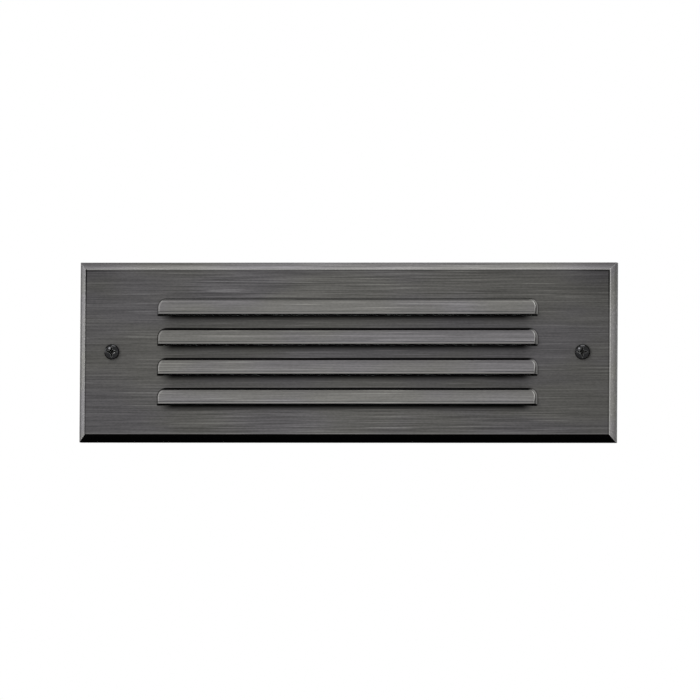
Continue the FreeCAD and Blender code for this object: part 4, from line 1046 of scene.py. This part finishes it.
rounded_piece("faceplate_gasket", "plate_gasket", 0.30 * mm, rubber)
rounded_piece("lens_gasket", "lens_seal", 0.30 * mm, rubber)
rounded_piece("wire_grommet", "rubber_grommet", 0.35 * mm, rubber)

# %% [markdown]
# ## Painted metal
# The box and its plugs are die castings with a dark powder coat, which lies in soft waves like the
# skin of an orange and wears through to pale metal on the edges. The lens frame is painted black, and
# the reflector has white enamel inside and out. They differ in colour, wave and gloss only, so one
# function makes all of them.

# %% Painted metal
def grimy_and_shaded(tone, reach, darkest):
    """A tone that darkens in the creases of its own piece, as dirt and painted shade."""
    creases = use(tone.tree, creased, Reach=reach)
    return toned(tone, ramp(creases["Dirt"], 0.0, 1.0, 1.0, darkest))


def painted(name, colour, speck, bare, wave, gloss, wear_share, edge=0.5 * mm):
    """Paint on metal: orange peel, small specks, grime and painted shade in the creases and bare edges."""
    material, tree, shader = new_material(name)
    coat = use(tree, peel, Size=wave)
    tone = grimy_and_shaded(mix(coat["Speckle"] * 0.5, colour, speck), 3 * mm, 0.72)
    rubbed = use(tree, worn, Radius=edge, Break_up=4 * mm)["Wear"] * wear_share
    feed(rubbed, shader.inputs["Metallic"])
    finish(shader, mix(rubbed, tone, bare), smudged(tree, 18 * mm, *gloss), coat["Height"],
           0.06 * mm, 0.45)
    return material


CAST_METAL = (0.42, 0.42, 0.41, 1)
box_coat = painted("powder_coated_casting", (0.050, 0.050, 0.053, 1), (0.085, 0.085, 0.088, 1), CAST_METAL,
                   wave=0.9 * mm, gloss=(0.48, 0.60), wear_share=0.35)
plug_coat = painted("powder_coated_plug", (0.058, 0.058, 0.060, 1), (0.090, 0.090, 0.092, 1), CAST_METAL,
                    wave=0.8 * mm, gloss=(0.42, 0.54), wear_share=0.50, edge=0.4 * mm)
frame_coat = painted("black_painted_sheet", (0.026, 0.026, 0.028, 1), (0.045, 0.045, 0.047, 1), BARE_STEEL,
                     wave=0.6 * mm, gloss=(0.34, 0.46), wear_share=0.25, edge=0.25 * mm)
enamel = painted("white_enamel", (0.70, 0.70, 0.67, 1), (0.62, 0.62, 0.59, 1), BARE_STEEL,
                 wave=1.1 * mm, gloss=(0.22, 0.34), wear_share=0.12, edge=0.2 * mm)

rounded_piece("back_box", "die_cast_box", 0.35 * mm, box_coat)
rounded_piece("lens_frame", "lens_holding_frame", 0.15 * mm, frame_coat)
rounded_piece("reflector", "enamelled_reflector", 0.18 * mm, enamel)
for side in ("left", "right"):
    rounded_piece(f"conduit_plug_{side}", f"{side}_entry_plug", 0.45 * mm, plug_coat)

# %% [markdown]
# ## Thread of the rear entry
# The rear entry takes half-inch conduit. Its thread is cut with a tap, and here too: a ring that fits
# the bore has a threaded bar taken out of it.

# %% Rear entry thread
ENTRY_CENTRE_X = 60 * mm
ENTRY_START = 60.7 * mm
ENTRY_END = 72.3 * mm
ENTRY_PITCH = 1.814 * mm
ENTRY_OUTSIDE = 9.88 * mm
TAP_RADIUS = 9.65 * mm

depth = ENTRY_END - ENTRY_START
thread = turned("rear_entry_thread", [(ENTRY_OUTSIDE, 0), (ENTRY_OUTSIDE, depth)], sides=64)
tap = threaded(TAP_RADIUS, ENTRY_PITCH, depth + 4 * ENTRY_PITCH)
move(tap, (0, -1.5 * ENTRY_PITCH, 0))
combine(thread, tap)
move(thread, (ENTRY_CENTRE_X, ENTRY_START, 0))
even_shading(thread)
thread.data.materials.append(box_coat)
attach(thread, body_of("back_box"))
print(thread.name, len(thread.data.polygons), "faces")

# %% [markdown]
# ## Lens
# The lens is a pane of frosted glass with ground edges. The frost is in the roughness, which drifts a
# little over the pane, and the colour is a faint green, as that of thick glass, darkened further as
# painted shade so that the lens shows dark through the slots.

# %% Frosted glass
# Darker than the glass's own tint, as painted shade behind the slots.
FROSTED = (0.68, 0.71, 0.70, 1)

glass, tree, shader = new_material("frosted_glass", Transmission_Weight=1.0, IOR=1.5)
finish(shader, FROSTED, smudged(tree, 20 * mm, 0.48, 0.58), noise(grained(tree, 0.12 * mm), 3.0),
       0.01 * mm, 0.5)

rounded_piece("lens", "frosted_lens", 0.30 * mm, glass)

# %% [markdown]
# ## Light board
# The board is aluminium with a white solder mask. Under the mask lie copper tracks, which show as low
# ridges: one joins the nine lights in a row, and one along each long side carries the current back.
# The tracks are drawn from the board's own measures, a band wherever a coordinate is near a line.

# %% Light board
TRACK_HALF = 0.9 * mm
TRACK_EDGE = 0.12 * mm
RAIL_Z = 6.2 * mm
RAIL_REACH = 72 * mm
CHIP_ROW_REACH = 63 * mm
BOARD_MASK = (0.74, 0.75, 0.71, 1)
OVER_COPPER = (0.66, 0.68, 0.63, 1)


def within(value, reach):
    """1 within a reach of zero and 0 outside, with a soft edge."""
    return ramp(abs(value), reach + TRACK_EDGE, reach)


board_mask, tree, shader = new_material("white_solder_mask")
x, y, z = axes(tree)
rails = within(abs(z) - RAIL_Z, TRACK_HALF) * within(x, RAIL_REACH)
tracks = rails | within(z, TRACK_HALF) * within(x, CHIP_ROW_REACH)
grain = use(tree, moulding, Size=0.5 * mm)
tone = toned(mix(tracks, BOARD_MASK, OVER_COPPER), ramp(grain["Tone"], 0.3, 0.7, 0.97, 1.02))
finish(shader, tone, ramp(grain["Tone"], 0.3, 0.7, 0.36, 0.46), grain["Height"] * 0.06 + tracks,
       0.05 * mm, 0.8)

rounded_piece("led_board", "light_board", 0.10 * mm, board_mask)

# %% [markdown]
# ## Lights
# Each light is a white case with a cup that is filled with yellow phosphor. It starts as a block of
# the node's size: its front is inset, the inset's corners are rounded, and it is pushed in to make
# the cup. The cup's floor gets the second material. The block is made once and copied along the row.

# %% Moulded finish
CASE_WHITE = (0.80, 0.80, 0.77, 1)
CASE_CREAM = (0.77, 0.77, 0.72, 1)
PHOSPHOR_DEEP = (0.78, 0.50, 0.07, 1)
PHOSPHOR_PALE = (0.88, 0.66, 0.16, 1)


def moulded(name, colour, tint, grain_size, gloss, relief=0.03 * mm, **settings):
    """Moulded plastic or rubber-like skin: a drift between two tones, a fine grain, and grime and painted
    shade in its creases.
    """
    material, tree, shader = new_material(name, **settings)
    grain = use(tree, moulding, Size=grain_size)
    tone = grimy_and_shaded(mix(ramp(grain["Tone"], 0.35, 0.65), colour, tint), 1.5 * mm, 0.75)
    finish(shader, tone, ramp(grain["Tone"], 0.3, 0.7, *gloss), grain["Height"], relief)
    return material


case_white = moulded("light_case", CASE_WHITE, CASE_CREAM, 0.10 * mm, (0.38, 0.48), 0.01 * mm)
phosphor = moulded("yellow_phosphor", PHOSPHOR_DEEP, PHOSPHOR_PALE, 0.06 * mm, (0.30, 0.40), 0.01 * mm,
                   Coat_Weight=0.5)

# %% Lights
CASE_WALL = 0.45 * mm
CUP_DEPTH = 0.30 * mm

chips = solids_of("leds")
low, high = chips[0]
size = high - low
cup_floor = -size.y / 2 + CUP_DEPTH
chip = start(bpy.ops.mesh.primitive_cube_add, size=1)
chip.name = "light_chips"
chip.data.transform(Matrix.Diagonal((*size, 1)))
edit("DESELECT")
pick("FACE", lambda place, normal: normal.y < -0.9)
bpy.ops.mesh.inset(thickness=CASE_WALL)
bpy.ops.mesh.select_mode(type="VERT")
bpy.ops.mesh.bevel(offset=0.25 * size.x, segments=4, affect="VERTICES")
pick("FACE", lambda place, normal: normal.y < -0.9 and place.xz.length < 0.1 * size.x)
extrude((0, CUP_DEPTH, 0), (0.82, 1, 0.82), (0, cup_floor, 0))
done()
for face in chip.data.polygons:
    face.material_index = int(abs(face.center.y - cup_floor) < WELD)
round_edges(chip, 0.06 * mm)
even_shading(chip)
set_out(chip, [(low + high) / 2 for low, high in chips])
hand_in(chip, "leds", case_white, phosphor)

# %% [markdown]
# ## Connector, pad and driver
# The white connector on the board takes the two leads in round openings on its rear. The pad under
# the board is filled silicone with a faint weave pressed into it, and the driver is sealed in a black
# moulded case. They keep the frame's shapes: only the connector gets openings, cut with two tapered
# bars, one for each lead.

# %% Plastics
connector_white = moulded("connector_white", (0.78, 0.78, 0.73, 1), (0.74, 0.73, 0.67, 1), 0.15 * mm,
                          (0.34, 0.44))
driver_black = moulded("driver_case", (0.045, 0.045, 0.050, 1), (0.055, 0.055, 0.060, 1), 0.35 * mm,
                       (0.46, 0.58), 0.05 * mm)
block_cream = moulded("block_polyamide", (0.72, 0.71, 0.66, 1), (0.68, 0.66, 0.60, 1), 0.25 * mm,
                      (0.30, 0.42), 0.02 * mm)

# %% Silicone pad
PAD_GREY = (0.33, 0.39, 0.45, 1)
PAD_PALE = (0.40, 0.46, 0.52, 1)
WEAVE_PITCH = 0.9 * mm

pad_grey, tree, shader = new_material("silicone_pad")
x, y, z = axes(tree)
waves = 2 * math.pi / WEAVE_PITCH
weave = maths("SINE", x * waves) * maths("SINE", z * waves)
grain = use(tree, moulding, Size=0.3 * mm)
finish(shader, mix(ramp(weave, -1.0, 1.0), PAD_GREY, PAD_PALE), ramp(grain["Tone"], 0.3, 0.7, 0.58, 0.72),
       grain["Height"] * 0.3 + weave, 0.03 * mm, 0.4)

rounded_piece("thermal_pad", "heat_pad", 0.08 * mm, pad_grey)
rounded_piece("led_driver", "sealed_driver", 0.60 * mm, driver_black, segments=3)
rounded_piece("terminal_block", "wiring_block", 0.30 * mm, block_cream)

# %% Connector with its openings
CONNECTOR_LEADS_X = (-89.4 * mm, -87.6 * mm)
CONNECTOR_LEADS_Y = 34.9 * mm
OPENING_RADIUS = 0.95 * mm
OPENING_DEPTH = 1.2 * mm

connector = merged_copy("board_connector", "board_connector_case")
low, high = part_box("board_connector")
for lead_x in CONNECTOR_LEADS_X:
    opening = disc(OPENING_RADIUS * 0.8, 0, 24)
    edit()
    extrude((0, OPENING_DEPTH, 0))
    extrude((0, OPENING_DEPTH, 0), (1.25, 1, 1.25))
    done()
    opening.data.transform(Matrix.Rotation(-math.pi / 2, 4, "X"))
    move(opening, (lead_x, CONNECTOR_LEADS_Y, low.z + OPENING_DEPTH))
    combine(connector, opening)
round_edges(connector, 0.12 * mm)
even_shading(connector)
hand_in(connector, "board_connector", connector_white)

# %% [markdown]
# ## Sheet steel, brass and tin
# The tray is galvanised: zinc freezes in large flat crystals, each a slightly different grey, which
# a Voronoi pattern gives. Brass and tinned copper are smoother and tarnish in soft clouds. One
# function makes the metals that differ in their two tones and their gloss.

# %% Galvanised sheet
SPANGLE = 7 * mm
GALVANISED_DARK = (0.36, 0.37, 0.38, 1)
GALVANISED_PALE = (0.56, 0.57, 0.57, 1)

galvanised, tree, shader = new_material("galvanised_sheet", Metallic=1.0)
crystals = add(tree, "TexVoronoi", Scale=1.0, Randomness=1.0)
feed(grained(tree, SPANGLE), crystals.inputs["Vector"])
shades = add(tree, "SeparateXYZ")
link(tree, crystals, "Color", shades, 0)
frosting = noise(grained(tree, 0.8 * mm), 3.0)
level = frosting * 0.35 + Varying(shades.outputs["X"]) * 0.65
# Creases darken as grime and painted shade.
tone = grimy_and_shaded(mix(ramp(level, 0.2, 0.8), GALVANISED_DARK, GALVANISED_PALE), 2 * mm, 0.6)
finish(shader, tone, ramp(level, 0.2, 0.8, 0.46, 0.34), frosting, 0.01 * mm)

rounded_piece("gear_tray", "galvanised_tray", 0.20 * mm, galvanised)

# %% Plain metals
def bare_metal(name, bright, tarnished, gloss, edge_metal=None):
    """A metal that tarnishes in clouds, with grime and painted shade in its creases and perhaps worn
    edges.
    """
    material, tree, shader = new_material(name, Metallic=1.0)
    clouds = ramp(noise(grained(tree, 3 * mm), 3.0, 0.55), 0.36, 0.64)
    tone = mix(clouds, bright, tarnished)
    if edge_metal:
        wear = use(tree, worn, Radius=0.3 * mm, Break_up=1.5 * mm)
        tone = mix(wear["Wear"] * 0.6, tone, edge_metal)
    finish(shader, grimy_and_shaded(tone, 0.9 * mm, 0.45), ramp(clouds, 0.0, 1.0, *gloss),
           noise(grained(tree, 0.25 * mm), 3.0), 0.006 * mm)
    return material


brass = bare_metal("terminal_brass", (0.66, 0.49, 0.21, 1), (0.50, 0.36, 0.15, 1), (0.26, 0.42))
tinned = bare_metal("tinned_copper", (0.70, 0.68, 0.62, 1), (0.58, 0.55, 0.49, 1), (0.28, 0.44))
green_steel = bare_metal("green_dyed_steel", (0.035, 0.26, 0.075, 1), (0.025, 0.19, 0.055, 1), (0.30, 0.42),
                         edge_metal=(0.40, 0.42, 0.38, 1))

rounded_piece("ground_lug", "ring_lug", 0.12 * mm, tinned)

# %% [markdown]
# ## Terminal and ground screws
# The terminal screws are brass with a slot. The ground screw is dyed green, as ground screws are, and
# has a six-sided head on a round flange, with a slot. Both are turned and slotted with one bar.

# %% Slotted screws
SLOT_SHARE = 0.22
SLOT_DEPTH_SHARE = 0.45


def cut_slot(screw, radius, height):
    """Cut a screwdriver slot across a head with a bar."""
    bar = start(bpy.ops.mesh.primitive_cube_add, size=1)
    depth = SLOT_DEPTH_SHARE * height
    bar.data.transform(Matrix.Diagonal((3 * radius, 2 * depth, 2 * SLOT_SHARE * radius, 1)))
    move(bar, (0, -height, 0))
    combine(screw, bar)


# %% Terminal screws
boxes = solids_of("terminal_screws")
low, high = boxes[0]
radius = (high.x - low.x) / 2
height = high.y - low.y
clamp = turned("clamp_screws", [(0.82 * radius, -height), (0.97 * radius, -0.93 * height),
                                (radius, -0.80 * height), (radius, 0)])
cut_slot(clamp, radius, height)
round_edges(clamp, 0.05 * mm)
even_shading(clamp)
turn_round(clamp)
set_out(clamp, [seat(low, high, low.y) for low, high in boxes])
hand_in(clamp, "terminal_screws", brass)

# %% Ground screw
FLANGE_SHARE = 0.30
HEX_SHARE = 0.86
GROUND_HEAD_HEIGHT = 2.5 * mm
GROUND_SHANK_RADIUS = 2.0 * mm
GROUND_PITCH = 0.7 * mm

low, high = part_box("ground_screw")
radius = (high.x - low.x) / 2
height = GROUND_HEAD_HEIGHT
flange = FLANGE_SHARE * height
hexagon = HEX_SHARE * radius
ground = turned("green_ground_screw", [(0.93 * radius, -flange), (radius, -0.6 * flange), (radius, 0)])
head = turned("hexagon", [(0.86 * hexagon, -height), (hexagon, -0.88 * height), (hexagon, -0.1 * height)],
              sides=6)
combine(ground, head, "UNION")
cut_slot(ground, radius, height)
round_edges(ground, 0.08 * mm)
join_shank(ground, height, GROUND_SHANK_RADIUS, GROUND_PITCH, high.y - low.y - height)
move(ground, seat(low, high, low.y + height))
hand_in(ground, "ground_screw", green_steel)

# %% [markdown]
# ## Leads
# The wires run between two ends that hold them, so they are part of the housing. A wire bends in one
# smooth line: each is a NURBS curve through the corners of its route, with a round section, made a
# mesh with closed ends. The insulation is soft plastic with a slight gloss.

# %% Leads
BLACK_SKIN = ((0.020, 0.020, 0.021, 1), (0.032, 0.032, 0.033, 1))
WHITE_SKIN = ((0.74, 0.74, 0.71, 1), (0.69, 0.69, 0.65, 1))
RED_SKIN = ((0.48, 0.030, 0.020, 1), (0.40, 0.022, 0.016, 1))
GREEN_SKIN = ((0.030, 0.27, 0.075, 1), (0.024, 0.22, 0.060, 1))


def lead(name, node, skin, diameter, corners):
    """A round wire along the corners of its route, in millimetres."""
    line = bpy.data.curves.new(name, "CURVE")
    line.dimensions = "3D"
    line.bevel_depth = diameter / 2
    line.bevel_resolution = 4
    line.resolution_u = 10
    line.use_fill_caps = True
    spline = line.splines.new("NURBS")
    spline.points.add(len(corners) - 1)
    for point, corner in zip(spline.points, corners):
        point.co = (*(value * mm for value in corner), 1)
    spline.order_u = 3
    spline.use_endpoint_u = True
    wire = bpy.data.objects.new(name, line)
    bpy.context.scene.collection.objects.link(wire)
    only(wire)
    bpy.ops.object.convert(target="MESH")
    wire = bpy.context.object
    edit()
    bpy.ops.mesh.remove_doubles(threshold=WELD)
    done()
    even_shading(wire)
    hand_in(wire, node, moulded(f"{name}_insulation", *skin, 0.12 * mm, (0.38, 0.50), 0.01 * mm))


lead("live_wire", "supply_lead_live", BLACK_SKIN, 1.5 * mm,
     [(6, 47, -12), (12, 47, -12), (17.5, 47, -12), (19.5, 47, -10), (19.5, 47, -7), (19.5, 47, -4.5)])
lead("neutral_wire", "supply_lead_neutral", WHITE_SKIN, 1.5 * mm,
     [(6, 47, -15.5), (16, 47, -15.5), (25.5, 47, -15.5), (28, 47, -13), (28, 47, -8), (28, 47, -4.5)])
lead("positive_wire", "output_lead_positive", RED_SKIN, 1.5 * mm,
     [(-66, 46.9, -13.6), (-76, 46.9, -13.6), (-87.4, 46.9, -13.6), (-89.4, 44.9, -13.6), (-89.4, 41, -13.6),
      (-89.4, 36.4, -13.6), (-89.4, 34.9, -12.1), (-89.4, 34.9, -8), (-89.4, 34.9, -3.2)])
lead("negative_wire", "output_lead_negative", BLACK_SKIN, 1.5 * mm,
     [(-66, 45.1, -13.6), (-76, 45.1, -13.6), (-85.6, 45.1, -13.6), (-87.6, 43.1, -13.6), (-87.6, 40, -13.6),
      (-87.6, 36.4, -13.6), (-87.6, 34.9, -12.1), (-87.6, 34.9, -8), (-87.6, 34.9, -3.2)])
lead("green_ground_wire", "ground_wire", GREEN_SKIN, 2.0 * mm,
     [(45, 60.3, -18), (41, 60.3, -18), (36.5, 59.3, -18), (36.5, 55, -18), (36.5, 49.5, -18),
      (36.5, 47, -15.5), (36.5, 47, -9), (36.5, 47, -4.5)])
